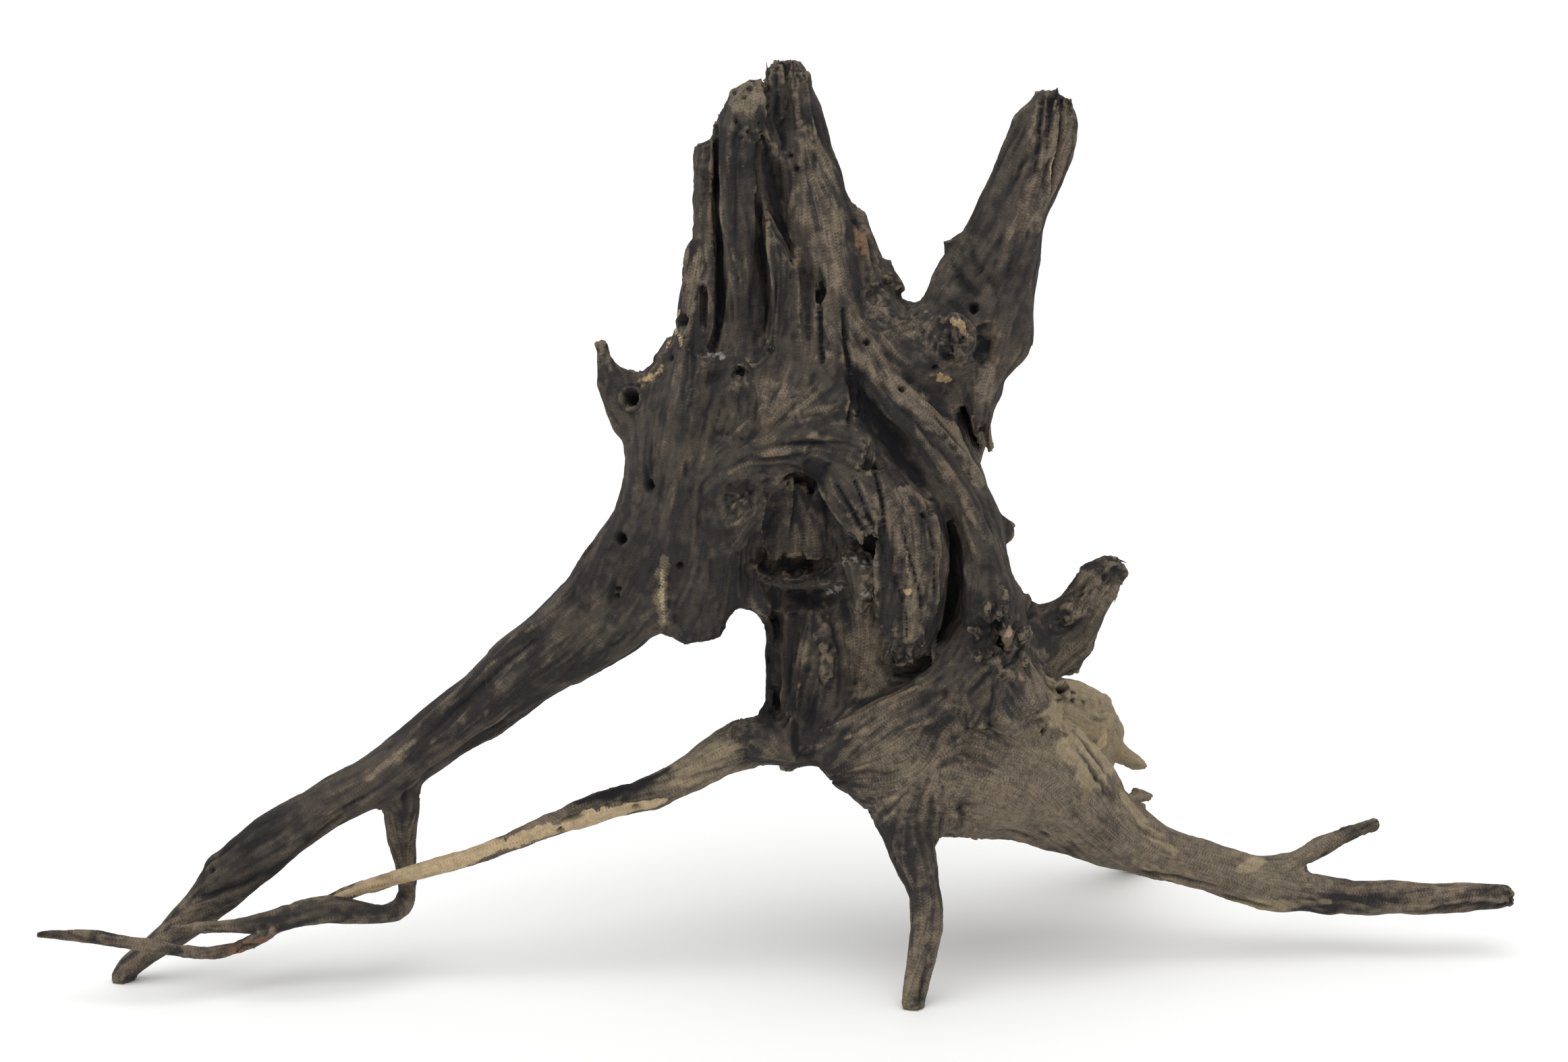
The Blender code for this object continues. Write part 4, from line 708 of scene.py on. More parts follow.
PATCHES: dict[Tone, tuple[Patch, ...]] = {
    Tone.BARE_AND_HIGHLIGHT: (
        Patch(((-36, -80.4), (-46.8, -83), (-58, -86), (-68.8, -88.8), (-80, -92)), 3.0, 1.0),
        Patch(((-76, -91), (-88, -94), (-98, -97), (-110, -101), (-122, -104.6), (-133, -107.4)), 3.8, 1.0),
        Patch(((-90, -95.6), (-104, -100.4), (-118, -104.6)), 3.0, 1.0),
        Patch(((-35.2, -9), (-36.2, -17), (-35.4, -27)), 1.5, 0.5),
        Patch(((4.4, 76), (5.0, 55)), 0.7, 0.4),
        # Painted highlight: a small pale crescent on the burl.
        Patch(((93.6, -64), (95.6, -60)), 2.4, 0.9),
        Patch(((80.4, 112), (79, 104)), 1.4, 0.6),
        Patch(((-30.4, 55), (-32, 60), (-31, 66)), 1.8, 0.6),
        Patch(((36.4, -4), (37, -14)), 1.0, 0.4),
        Patch(((66, -33), (67, -28)), 1.2, 0.8),
    ),
    # Painted shade: most of these dark patches lie along the clefts, grooves, holes and knot hollows, or
    # under ribs; the long strip along the pale root's top is its dark bark.
    Tone.DARK: (
        Patch(((7, 20), (10, 14), (12, 6)), 4, 0.9),
        Patch(((-1, -8), (3, -11), (7, -9)), 2.4, 0.9),
        Patch(((2, -19), (8, -21), (10, -18)), 3, 0.9),
        Patch(((-3, -22), (-5, -40), (-5, -58)), 6, 0.9),
        Patch(((3, -24), (2, -38), (2, -54)), 4.4, 0.8),
        Patch(((4, -50), (10, -56)), 4, 0.7),
        Patch(((-4, 4), (-3.6, -3), (-4, -9)), 2.2, 0.7),
        Patch(((21, 47), (24.4, 39), (29.4, 30), (35.4, 21.4), (41.4, 13)), 4.6, 1.0),
        Patch(((44, 9), (49, -4), (49.6, -20), (45, -33)), 2.6, 0.95),
        Patch(((-20, 120), (-20, 96), (-19, 72), (-20, 56)), 1.4, 0.9),
        Patch(((-5, 112), (-3.4, 100), (0, 88)), 2.6, 0.9),
        Patch(((-7, 98), (-6, 80), (-5, 62)), 1.6, 0.9),
        Patch(((59, 60), (60, 54), (59, 49)), 3.2, 0.6),
        Patch(((48, 58.6), (50.6, 56), (51, 51)), 5.0, 0.5),
        Patch(((46, 53.6), (49, 51)), 1.8, 0.8),
        Patch(((60, -28), (64, -33), (67, -36)), 4, 0.5),
        Patch(((61.6, -23.6), (59.8, -30), (62.4, -35.4), (67, -37)), 2.2, 0.75),
        Patch(((80.4, -47.2), (83.4, -46.8), (86.4, -47.6)), 1.3, 0.95),
        Patch(((-6, -13), (0, -16), (6, -16), (12, -12.8)), 2.3, 0.85),
        Patch(((50, 80), (53.6, 73), (58, 70)), 1.6, 0.6),
        Patch(((54.6, 40), (55.6, 34)), 1.6, 0.9),
        Patch(((58, -26), (57, -33), (60, -38)), 2.0, 0.6),
        Patch(((28, -39), (36, -43), (44, -37)), 2.2, 0.6),
        Patch(((64.2, -30), (64.4, -33)), 2.4, 0.8),
        Patch(((38, -52), (48, -49)), 3, 0.5),
        Patch(((-35, -70.6), (-46.8, -76.4), (-58, -79), (-68.8, -81.4), (-80, -85.4),
              (-88.6, -88.6)), 2.2, 0.95),
        Patch(((-97, -91.6), (-101, -93.4)), 1.4, 0.8),
        Patch(((-46, -78), (-48, -80.6)), 1.6, 0.8),
        Patch(((-117, -102.6), (-121, -103)), 1.4, 0.5),
        Patch(((-212, -119), (-221, -119)), 2, 0.6),
        Patch(((-79.8, -36), (-92, -48), (-104, -59)), 1.5, 0.6),
    ),
    Tone.CRUST: (
        Patch(((49.6, 62.4), (52.6, 61.2), (54, 58)), 1.8, 0.85),
        Patch(((46.6, 46), (48.6, 44.4)), 1.8, 0.85),
        Patch(((66.4, -31), (66.4, -33)), 1.6, 0.6),
        Patch(((-42.6, 44.6), (-38, 46.4), (-36.4, 50)), 1.5, 0.6),
        Patch(((-35, 54), (-33.4, 58)), 1.2, 0.5),
        Patch(((36.6, -17.8),), 1.6, 0.7),
    ),
    Tone.POWDER: (
        Patch(((18.4, -9), (24, -9), (27, -13), (23.6, -19)), 3.2, 0.8),
        Patch(((27, -24), (29, -29)), 2.0, 0.5),
        Patch(((17, -16.6), (12, -18)), 1.8, 0.7),
        Patch(((-22, 52.4), (-16, 51.4)), 1.6, 0.8),
        Patch(((38, 70), (37, 66)), 0.8, 0.7),
    ),
    Tone.REDDISH: (
        Patch(((21.4, 90), (24, 83)), 2.6, 0.58),
        Patch(((28, 78), (33, 73)), 2.0, 0.35),
        Patch(((-164, -124.6), (-158, -122.6), (-152, -121.2)), 2.2, 1.0),
    ),
    Tone.TAN: (
        Patch(((9, 118), (12, 100), (14, 84), (16, 74)), 7, 0.6),
        Patch(((-14, 128), (-9, 130)), 6, 0.8),
        Patch(((-24, 84), (-28, 70), (-30, 58)), 3, 0.7),
        Patch(((80, 118), (78, 104), (72, 88)), 5, 0.5),
        Patch(((30, 64), (24, 56), (30, 48)), 8, 0.4),
        Patch(((32, 44), (42, 36), (52, 26), (58, 14)), 5, 0.85),
        Patch(((-8, 42), (4, 38), (16, 34)), 6, 0.36),
        Patch(((26, 66), (36, 60), (44, 56)), 6, 0.34),
        Patch(((38, -22), (38, -34)), 5, 0.7),
        Patch(((-110, -62.5), (-124, -74)), 1.4, 0.8),
        Patch(((84, -10), (92, -16), (86, -24)), 5, 0.6),
        Patch(((-16, 17), (-6, 22.4), (8, 24), (20, 22.6)), 1.8, 0.4),
        Patch(((34, 10), (37, -4), (38, -18), (35, -32)), 7, 0.5),
        Patch(((22, -28), (26, -38), (24, -48)), 7, 0.6),
        Patch(((60, 46), (62, 40)), 5, 0.55),
        Patch(((-35.2, -8), (-36.2, -17), (-35.4, -28)), 2.6, 0.8),
        Patch(((83.6, 124), (81.6, 112), (78, 100)), 4, 0.8),
        Patch(((4, 2), (9, -4), (4, 10)), 6, 0.3),
    ),
    Tone.OLIVE: (
        Patch(((82, -46), (90, -47), (98, -50)), 7, 1.0),
        Patch(((80, -54), (90, -56), (101, -58)), 8, 1.0),
        Patch(((84, -64), (92, -66), (101, -68)), 7, 1.0),
        Patch(((88, -72), (95, -74)), 4, 0.7),
        Patch(((-12, -63), (-24, -69), (-34, -74.6)), 6, 0.5),
        Patch(((135, -100), (146, -95.4), (158, -90), (166, -87)), 2.4, 0.75),
        Patch(((100, -78), (108, -88), (117, -96)), 2.6, 0.6),
        Patch(((104, -98), (122, -106.6), (141, -111), (163, -110)), 2.6, 0.6),
        Patch(((30, -86), (33, -78)), 2.4, 0.5),
    ),
    Tone.FLAKY: (
        Patch(((-14, 130), (-8, 132), (0, 137), (5, 134)), 4, 0.9),
        Patch(((-15, 120), (-6, 116), (0, 112), (6, 108)), 3, 0.7),
        Patch(((-24, 113), (-25, 104)), 3, 0.5),
        Patch(((22, 92), (26, 82), (32, 74)), 4, 0.8),
        Patch(((76, 128), (82, 128), (86, 124)), 3, 0.35),
        Patch(((50, 56),), 7, 0.5),
        Patch(((62, -26), (64, -36), (60, -38)), 6, 0.6),
        Patch(((20, 6), (26, 0)), 4, 0.7),
        Patch(((32, -30), (36, -38), (42, -36)), 5, 0.55),
        Patch(((24, -6), (26, -18), (26, -28)), 4, 0.9),
        Patch(((10, -22), (12, -40), (2, -56)), 5, 0.6),
        Patch(((92, -12), (98, -12), (96, -20)), 5, 0.7),
        Patch(((-42, 44), (-36, 48)), 3.4, 0.7),
        Patch(((211, -108), (216, -108)), 4, 0.6),
        Patch(((-196, -131), (-198, -134)), 4, 0.5),
        Patch(((38, -138), (38, -141)), 4, 0.5),
    ),
}


@dataclass(frozen=True)
class Region:
    """A ball in which the whole wood, on every side, is of a lighter or a barer colour."""

    tone: Tone
    place: tuple[float, float, float]
    reach: float
    strength: float


REGIONS: tuple[Region, ...] = (
    Region(Tone.TAN, (70, -70, -10), 46, 0.95),
    Region(Tone.TAN, (34, -70, -22), 26, 0.7),
    Region(Tone.TAN, (130, -98, 2), 44, 0.95),
    Region(Tone.TAN, (190, -106, 6), 50, 0.5),
    Region(Tone.TAN, (100, -90, 0), 30, 0.9),
    Region(Tone.TAN, (152, -93, 6), 24, 1.0),
    Region(Tone.TAN, (40, -122, -32), 34, 0.5),
    Region(Tone.TAN, (34, -92, -26), 16, 0.3),
    Region(Tone.TAN, (-113, -92, -8), 16, 0.6),
    Region(Tone.TAN, (-180, -122, -24), 36, 0.35),
    Region(Tone.TAN, (-24, -72, -14), 26, 0.9),
    Region(Tone.TAN, (92, -58, 40), 26, 1.0),
    Region(Tone.TAN, (98, -90, 70), 34, 1.0),
    Region(Tone.TAN, (60, 20, 16), 30, 0.4),
    Region(Tone.TAN, (-76, -90, -16), 40, 0.8),
    Region(Tone.OLIVE, (95, -60, 44), 34, 1.0),
    Region(Tone.OLIVE, (98, -80, 62), 28, 0.9),
    Region(Tone.OLIVE, (100, -96, 78), 30, 0.8),
    Region(Tone.OLIVE, (-22, -70, -14), 17, 0.38),
)


PLAIN_FIBRES = 0.16
THIN_FIBRES = 0.12
DEEP_FIBRES: tuple[tuple[tuple[float, float, float], float, float], ...] = (
    ((-6, 95, -8), 50, 0.3),
    ((-6, 125, 0), 22, 0.42),
    ((74, 112, 0), 34, 0.36),
    ((34, -6, -26), 26, 0.4),
    ((12, -42, -14), 24, 0.36),
    ((60, 60, -4), 20, 0.24),
)


@dataclass
class Blank:
    """The solids fused into one blank of wood."""

    nodes: dict[str, bpy.types.Object]
    first_voxel: float = 1.0 * MM
    plug_depth: float = 1.2 * MM

    def plug(self, bm: bmesh.types.BMesh, name: str, fork: Fork) -> None:
        """Adds a short plug that bridges the gap at one fork.

        Args:
            bm: The mesh that the plug is added to.
            name: The limb's node.
            fork: Where the limb is parted.
        """
        cap = bmesh.new()
        cap.from_mesh(self.nodes[name].data)
        bmesh.ops.remove_doubles(cap, verts=cap.verts, dist=1e-6)
        centre, axis = fork.centre(), fork.axis()
        limit = fork.radius * MM

        def off_plane(face: bmesh.types.BMFace) -> bool:
            """Returns whether a face isn't part of the limb's cut end."""
            away = face.calc_center_median() - centre
            return face.normal.dot(axis) > -0.9 or abs(away.dot(axis)) > 0.5 * MM or away.length > limit

        bmesh.ops.delete(cap, geom=[face for face in cap.faces if off_plane(face)], context="FACES")
        grown = bmesh.ops.extrude_face_region(cap, geom=list(cap.faces))["geom"]
        front = [item for item in grown if isinstance(item, bmesh.types.BMVert)]
        rear = [vert for vert in cap.verts if vert not in set(front)]
        bmesh.ops.translate(cap, verts=front, vec=-axis * self.plug_depth)
        bmesh.ops.translate(cap, verts=rear, vec=axis * self.plug_depth)
        bmesh.ops.recalc_face_normals(cap, faces=cap.faces)
        spare = bpy.data.meshes.new("plug")
        cap.to_mesh(spare)
        cap.free()
        bm.from_mesh(spare)
        bpy.data.meshes.remove(spare)

    def build(self) -> bpy.types.Object:
        """Fuses the nodes and their plugs.

        Returns:
            The blank, as one closed skin.
        """
        bm = bmesh.new()
        for obj in self.nodes.values():
            bm.from_mesh(obj.data)
        bmesh.ops.remove_doubles(bm, verts=bm.verts, dist=1e-6)
        for name, fork in FORKS.items():
            self.plug(bm, name, fork)
        return fuse(object_from("blank", bm), self.first_voxel)


@dataclass
class Surface:
    """The blank's skin as arrays, which the carver works on."""

    obj: bpy.types.Object
    smoothing: float = 0.6
    swelling: float = 0.63
    points: np.ndarray = field(init=False)
    edges: np.ndarray = field(init=False)
    valence: np.ndarray = field(init=False)

    def __post_init__(self) -> None:
        """Reads the mesh."""
        mesh = self.obj.data
        self.points = np.empty(len(mesh.vertices) * 3, np.float32)
        mesh.vertices.foreach_get("co", self.points)
        self.points = self.points.reshape(-1, 3).astype(np.float64)
        self.edges = np.empty(len(mesh.edges) * 2, np.int32)
        mesh.edges.foreach_get("vertices", self.edges)
        self.edges = self.edges.reshape(-1, 2)
        self.valence = np.bincount(self.edges.ravel(), minlength=len(self.points)).astype(np.float64)

    def spread(self, values: np.ndarray) -> np.ndarray:
        """The mean of each vertex's neighbours.

        Args:
            values: One value or one row for each vertex.

        Returns:
            The means, shaped as the values.
        """
        first, second = self.edges[:, 0], self.edges[:, 1]
        columns = values.reshape(len(values), -1)
        total = np.empty(columns.shape)
        count = len(self.points)
        for i in range(columns.shape[1]):
            column = columns[:, i]
            total[:, i] = np.bincount(first, column[second], count)
            total[:, i] += np.bincount(second, column[first], count)
        return (total / self.valence[:, None]).reshape(values.shape)

    def blurred(self, values: np.ndarray, rounds: int) -> np.ndarray:
        """Values blurred over the skin.

        Args:
            values: One value or one row for each vertex.
            rounds: How many times each value is moved half way to its neighbours' mean.

        Returns:
            The blurred values.
        """
        for _ in range(rounds):
            values = 0.5 * values + 0.5 * self.spread(values)
        return values

    def fair(self, rounds: int) -> None:
        """Takes the facets out of the skin without thinning it.

        Args:
            rounds: How many pairs of a smoothing and a swelling step are made.
        """
        for _ in range(rounds):
            self.points += self.smoothing * (self.spread(self.points) - self.points)
            self.points -= self.swelling * (self.spread(self.points) - self.points)

    def write(self) -> None:
        """Puts the points back into the mesh."""
        self.obj.data.vertices.foreach_set("co", self.points.astype(np.float32).ravel())
        self.obj.data.update()

    def normals(self) -> np.ndarray:
        """Writes the points and reads the normal at each vertex.

        Returns:
            Unit vectors that point outwards.
        """
        self.write()
        found = np.empty(len(self.points) * 3, np.float32)
        self.obj.data.vertex_normals.foreach_get("vector", found)
        return found.reshape(-1, 3).astype(np.float64)

    def tree(self) -> BVHTree:
        """Writes the points and sorts the skin's faces.

        Returns:
            A tree that finds the skin along a ray.
        """
        self.write()
        polygons = [tuple(face.vertices) for face in self.obj.data.polygons]
        return BVHTree.FromPolygons([tuple(point) for point in self.points], polygons)


@dataclass
class Carver:
    """Carves and paints the skin."""

    skin: Surface
    folds: Streaks = Streaks(2, 5.5, 22)
    wide_streaks: Streaks = Streaks(3, 2.4, 14)
    fine_streaks: Streaks = Streaks(5, 1.2, 8)
    furrows: Streaks = Streaks(6, 2.2, 12)
    broken_fibres: Streaks = Streaks(11, 1.7, 4)
    large_lumps: Lumps = Lumps(7, 9)
    small_lumps: Lumps = Lumps(8, 4)
    furrow_gate: Lumps = Lumps(9, 8)
    crumbs: Lumps = Lumps(12, 1.4)
    sway: tuple[Lumps, ...] = (Lumps(20, 16), Lumps(21, 16), Lumps(22, 16))
    stub_rim: Lumps = Lumps(31, 2.2)
    stub_bends: tuple[Lumps, Lumps] = (Lumps(33, 4.5), Lumps(34, 3))
    patch_edges: tuple[Lumps, Lumps] = (Lumps(41, 3.5), Lumps(42, 1.4))
    fold_height: float = 0.44 * MM
    lump_height: float = 0.34 * MM
    furrow_depth: float = 0.12 * MM
    flake_height: float = 0.75 * MM
    thin_side: float = -0.09
    thin_side_fibres: float = -0.08
    grain_cell: float = 3 * MM
    grain_neighbours: int = 10
    grain_blur: int = 8
    sway_share: float = 0.32
    knot_pull: float = 1.3
    hole_depth: float = 2.8
    hole_reach: float = 1.3
    edge_rounds: int = 8
    edge_height: float = 1.2 * MM
    form_rounds: int = 60
    form_height: float = 5 * MM
    crack_count: int = 420
    crack_step: float = 0.8 * MM
    crack_steps: tuple[int, int] = (4, 34)
    crack_depth: tuple[float, float] = (0.4, 0.8)
    crack_width: float = 1.15 * MM
    pit_count: int = 46
    pit_radius: tuple[float, float] = (0.55, 0.35)
    normals: np.ndarray = field(init=False)
    grain: np.ndarray = field(init=False)
    tree: BVHTree = field(init=False)
    worn: np.ndarray = field(init=False)
    ends: np.ndarray = field(init=False)
    starts: np.ndarray = field(init=False)
    tones: dict[str, np.ndarray] = field(default_factory=dict)

    def __post_init__(self) -> None:
        """Finds the skin's normals, its grain and each vertex's neighbours."""
        self.tree = self.skin.tree()
        self.normals = self.skin.blurred(self.skin.normals(), 2)
        self.normals /= np.linalg.norm(self.normals, axis=1)[:, None]
        self.grain = self.find_grain()
        self.worn = self.skin.blurred(self.skin.points, 60)
        edges = self.skin.edges
        first = np.concatenate((edges[:, 0], edges[:, 1]))
        order = np.argsort(first, kind="stable")
        self.ends = np.concatenate((edges[:, 1], edges[:, 0]))[order]
        self.starts = np.concatenate(([0], np.cumsum(np.bincount(first, minlength=len(self.skin.points)))))
        for tone in Tone:
            self.tones[tone.value] = np.zeros(len(self.skin.points))

    def on_skin(self, across: float, up: float, behind: bool = False) -> Vector | None:
        """The nearest point of the skin in the front view, or from behind.

        Args:
            across: Millimetres to the right of the aim.
            up: Millimetres above the aim.
            behind: Whether the skin is met from behind.

        Returns:
            The point in metres, or None beside the wood.
        """
        if behind:
            start = VIEW.place(across, up, 0)[0] + Vector((0, 0.5, 0))
            return self.tree.ray_cast(start, Vector((0, -1, 0)))[0]
        return self.tree.ray_cast(VIEW.eye(), VIEW.ray(across, up))[0]

    def trace(self, points: Sequence[ViewPoint], step: float = 0.8, behind: bool = False) -> np.ndarray:
        """A line drawn on the skin.

        Args:
            points: The line's points in the front view.
            step: The spacing of the points that are found, in millimetres.
            behind: Whether it is drawn from behind.

        Returns:
            The places on the skin in metres, one row each.
        """
        found: list[Vector] = []
        rows = [(*point, 0.0, 0.0, 0.0) for point in points]
        fine = smooth_stations(rows, 6) if len(rows) > 1 else rows
        for first, second in zip(fine, fine[1:] or fine):
            count = max(int(math.dist(first[:2], second[:2]) / step), 1)
            for i in range(count):
                t = i / count
                across = first[0] + (second[0] - first[0]) * t
                hit = self.on_skin(across, first[1] + (second[1] - first[1]) * t, behind)
                if hit is not None:
                    found.append(hit)
        return np.array([tuple(hit) for hit in found]).reshape(-1, 3)

    def near(self, line: np.ndarray, reach: float) -> tuple[np.ndarray, np.ndarray, np.ndarray]:
        """The vertices near a line.

        Args:
            line: The line's points in metres.
            reach: How near, in metres.

        Returns:
            The vertices' numbers, their distances in metres, and the number of the nearest point of the line.
        """
        low, high = line.min(0) - reach, line.max(0) + reach
        inside = ((self.skin.points > low) & (self.skin.points < high)).all(1)
        index = np.nonzero(inside)[0]
        best = np.full(len(index), np.inf)
        which = np.zeros(len(index), np.int64)
        for i, place in enumerate(line):
            away = ((self.skin.points[index] - place) ** 2).sum(1)
            closer = away < best
            best[closer] = away[closer]
            which[closer] = i
        distance = np.sqrt(best)
        kept = distance < reach
        return index[kept], distance[kept], which[kept]

    def find_grain(self) -> np.ndarray:
        """The way of the grain at each vertex, from the strands, and round the knots.

        Returns:
            Unit vectors along the skin.
        """
        places: list[Vector] = []
        ways: list[Vector] = []
        weights: list[float] = []
        for strand in GRAIN:
            rows = smooth_stations([(*point, 0.0, 0.0) for point in strand.points], 5)
            line = [VIEW.place(*row[:3])[0] for row in rows]
            for i, place in enumerate(line):
                places.append(place)
                ways.append((line[min(i + 1, len(line) - 1)] - line[max(i - 1, 0)]).normalized())
                weights.append(strand.weight)
        tree = KDTree(len(places))
        for i, place in enumerate(places):
            tree.insert(place, i)
        tree.balance()
        ways_array = np.array([tuple(way) for way in ways])
        outer = ways_array[:, :, None] * ways_array[:, None, :] * np.array(weights)[:, None, None]
        points = self.skin.points
        rounded = np.round(points / self.grain_cell).astype(np.int64)
        cells, member = np.unique(rounded, axis=0, return_inverse=True)
        cell_tensor = np.zeros((len(cells), 3, 3))
        for i, cell in enumerate(cells * self.grain_cell):
            for _, k, distance in tree.find_n(tuple(cell), self.grain_neighbours):
                cell_tensor[i] += outer[k] / (distance + self.grain_cell) ** 3
        tensor = cell_tensor[member.reshape(-1)]
        tensor /= np.trace(tensor, axis1=1, axis2=2)[:, None, None]
        tensor = self.skin.blurred(tensor.reshape(-1, 9), self.grain_blur).reshape(-1, 3, 3)
        grain = np.linalg.eigh(tensor)[1][:, :, 2]
        sway = np.stack([layer.over(points) for layer in self.sway], axis=1)
        grain += self.sway_share * sway * np.sign((grain * np.array((0.3, 0.2, 1))).sum(1))[:, None]
        for knot in KNOTS:
            hit = self.on_skin(knot.across, knot.up)
            if hit is None:
                continue
            away = points - np.array(hit)
            distance = np.linalg.norm(away, axis=1)
            pull = np.clip(1 - distance / (knot.radius * self.knot_pull * MM), 0, 1)[:, None] ** 0.5
            round_it = np.cross(self.normals, away)
            round_it /= np.maximum(np.linalg.norm(round_it, axis=1), 1e-9)[:, None]
            same = np.sign((round_it * grain).sum(1))[:, None]
            grain = grain * (1 - pull) + round_it * same * pull
        grain -= self.normals * (grain * self.normals).sum(1)[:, None]
        return grain / np.maximum(np.linalg.norm(grain, axis=1), 1e-9)[:, None]

    def move(self, index: np.ndarray, height: np.ndarray) -> None:
        """Moves vertices along their normals.

        Args:
            index: The vertices' numbers.
            height: How far out each goes, in metres.
        """
        self.skin.points[index] += self.normals[index] * height[:, None]

    def carve(self, stroke: Stroke) -> None:
        """Makes one stroke.

        Args:
            stroke: What to carve, and where.
        """
        line = self.trace(stroke.points, behind=stroke.behind)
        if not len(line):
            return
        index, distance, which = self.near(line, stroke.width * MM)
        share = distance / (stroke.width * MM)
        height = stroke.height * MM
        ends = np.clip(np.minimum(which, len(line) - 1 - which) / max(len(line) * 0.15, 1) + 0.25, 0, 1)
        if stroke.cut is Cut.GROOVE:
            self.move(index, -height * (1 - share**2) ** 2 * ends)
        elif stroke.cut is Cut.CRACK:
            self.move(index, -height * (1 - share) ** 1.5 * ends)
            # Painted shade in the crack's groove.
            self.add_tone(Tone.DARK, index, 0.8 * (1 - share) * ends)
        elif stroke.cut is Cut.RIDGE:
            self.move(index, height * (1 - share) ** 1.2 * ends)
        elif stroke.cut is Cut.LUMP:
            self.move(index, height * (1 - share**2) ** 2)
        elif stroke.cut is Cut.WEAR:
            pull = (1 - share**2)[:, None] * stroke.height
            self.skin.points[index] += pull * (self.worn[index] - self.skin.points[index])
        else:
            places = self.skin.points[index]
            bends = [layer.over(places) for layer in self.stub_bends]
            uneven = share * (1 + 0.3 * bends[0]) + 0.16 * bends[1]
            dome = np.clip(1 - uneven**2, 0, 1) ** 0.7 * np.clip(4 - 4 * share, 0, 1)
            core = np.exp(-((uneven / 0.3) ** 2))
            crease = np.exp(-(((share - 0.9) / 0.14) ** 2))
            ragged = 1 + 0.35 * self.stub_rim.over(places)
            rim = 0.12 * crease * np.clip(4 - 4 * share, 0, 1)
            self.move(index, height * (dome * ragged - 1.1 * core - rim))
            # Painted shade in the stub's hollow core and in the crease round it.
            self.add_tone(Tone.DARK, index, np.maximum(0.85 * core, 0.5 * crease))
            self.add_tone(Tone.FLAKY, index, 0.7 * dome)

    def drill(self, across: float, up: float, radius: float) -> None:
        """Sinks one borer hole.

        Args:
            across: Millimetres to the right of the aim.
            up: Millimetres above the aim.
            radius: The hole's radius in millimetres.
        """
        hit = self.on_skin(across, up)
        if hit is not None:
            self.sink(np.array([tuple(hit)]), radius)

    def sink(self, place: np.ndarray, radius: float) -> None:
        """Sinks a hole at a place on the skin.

        Args:
            place: One row with the place in metres.
            radius: The hole's radius in millimetres.
        """
        index, distance, _ = self.near(place, radius * self.hole_reach * MM)
        share = distance / (radius * self.hole_reach * MM)
        self.move(index, -self.hole_depth * radius * MM * (1 - share**5))
        # Painted shade in the hole.
        self.add_tone(Tone.DARK, index, 1 - share**4)

    def add_tone(self, tone: Tone, index: np.ndarray, strength: np.ndarray) -> None:
        """Raises one tone at some vertices.

        Args:
            tone: The tone.
            index: The vertices' numbers.
            strength: From 0 to 1.
        """
        values = self.tones[tone.value]
        values[index] = np.maximum(values[index], strength)

    def paint(self) -> None:
        """Paints every patch and region."""
        for tone, patches in PATCHES.items():
            for patch in patches:
                line = self.trace(patch.points, min(1.5, 0.35 * patch.width))
                if len(line):
                    index, distance, which = self.near(line, patch.width * 1.7 * MM)
                    places = self.skin.points[index]
                    taper = 0.5 + 0.5 * np.sin(math.pi * (which + 0.5) / len(line))
                    share = distance / (patch.width * 1.4 * MM * taper)
                    share += 0.3 * self.patch_edges[0].over(places) + 0.2 * self.patch_edges[1].over(places)
                    self.add_tone(tone, index, patch.strength * np.clip(1.6 - 1.6 * share, 0, 1))
        everyone = np.arange(len(self.skin.points))
        for region in REGIONS:
            away = np.linalg.norm(self.skin.points - np.array(VIEW.place(*region.place)[0]), axis=1)
            share = np.clip(1.5 - 1.5 * away / (region.reach * MM), 0, 1)
            self.add_tone(region.tone, everyone, region.strength * share)

    def wander(self, start: int, steps: int, step: float) -> list[int]:
        """A path along the grain.

        Args:
            start: The vertex that it starts from.
            steps: How many steps it takes each way.
            step: The length of a step in metres.

        Returns:
            The vertices that it passes, in order.
        """
        halves: list[list[int]] = []
        for sign in (1, -1):
            here, way, target = start, self.grain[start] * sign, self.skin.points[start].copy()
            half: list[int] = []
            for _ in range(steps):
                target += way * step
                around = self.ends[self.starts[here] : self.starts[here + 1]]
                gaps = ((self.skin.points[around] - target) ** 2).sum(1)
                here = int(around[gaps.argmin()])
                target += self.normals[here] * ((self.skin.points[here] - target) @ self.normals[here])
                way = self.grain[here] if self.grain[here] @ way > 0 else -self.grain[here]
                half.append(here)
            halves.append(half)
        return [*reversed(halves[1]), start, *halves[0]]

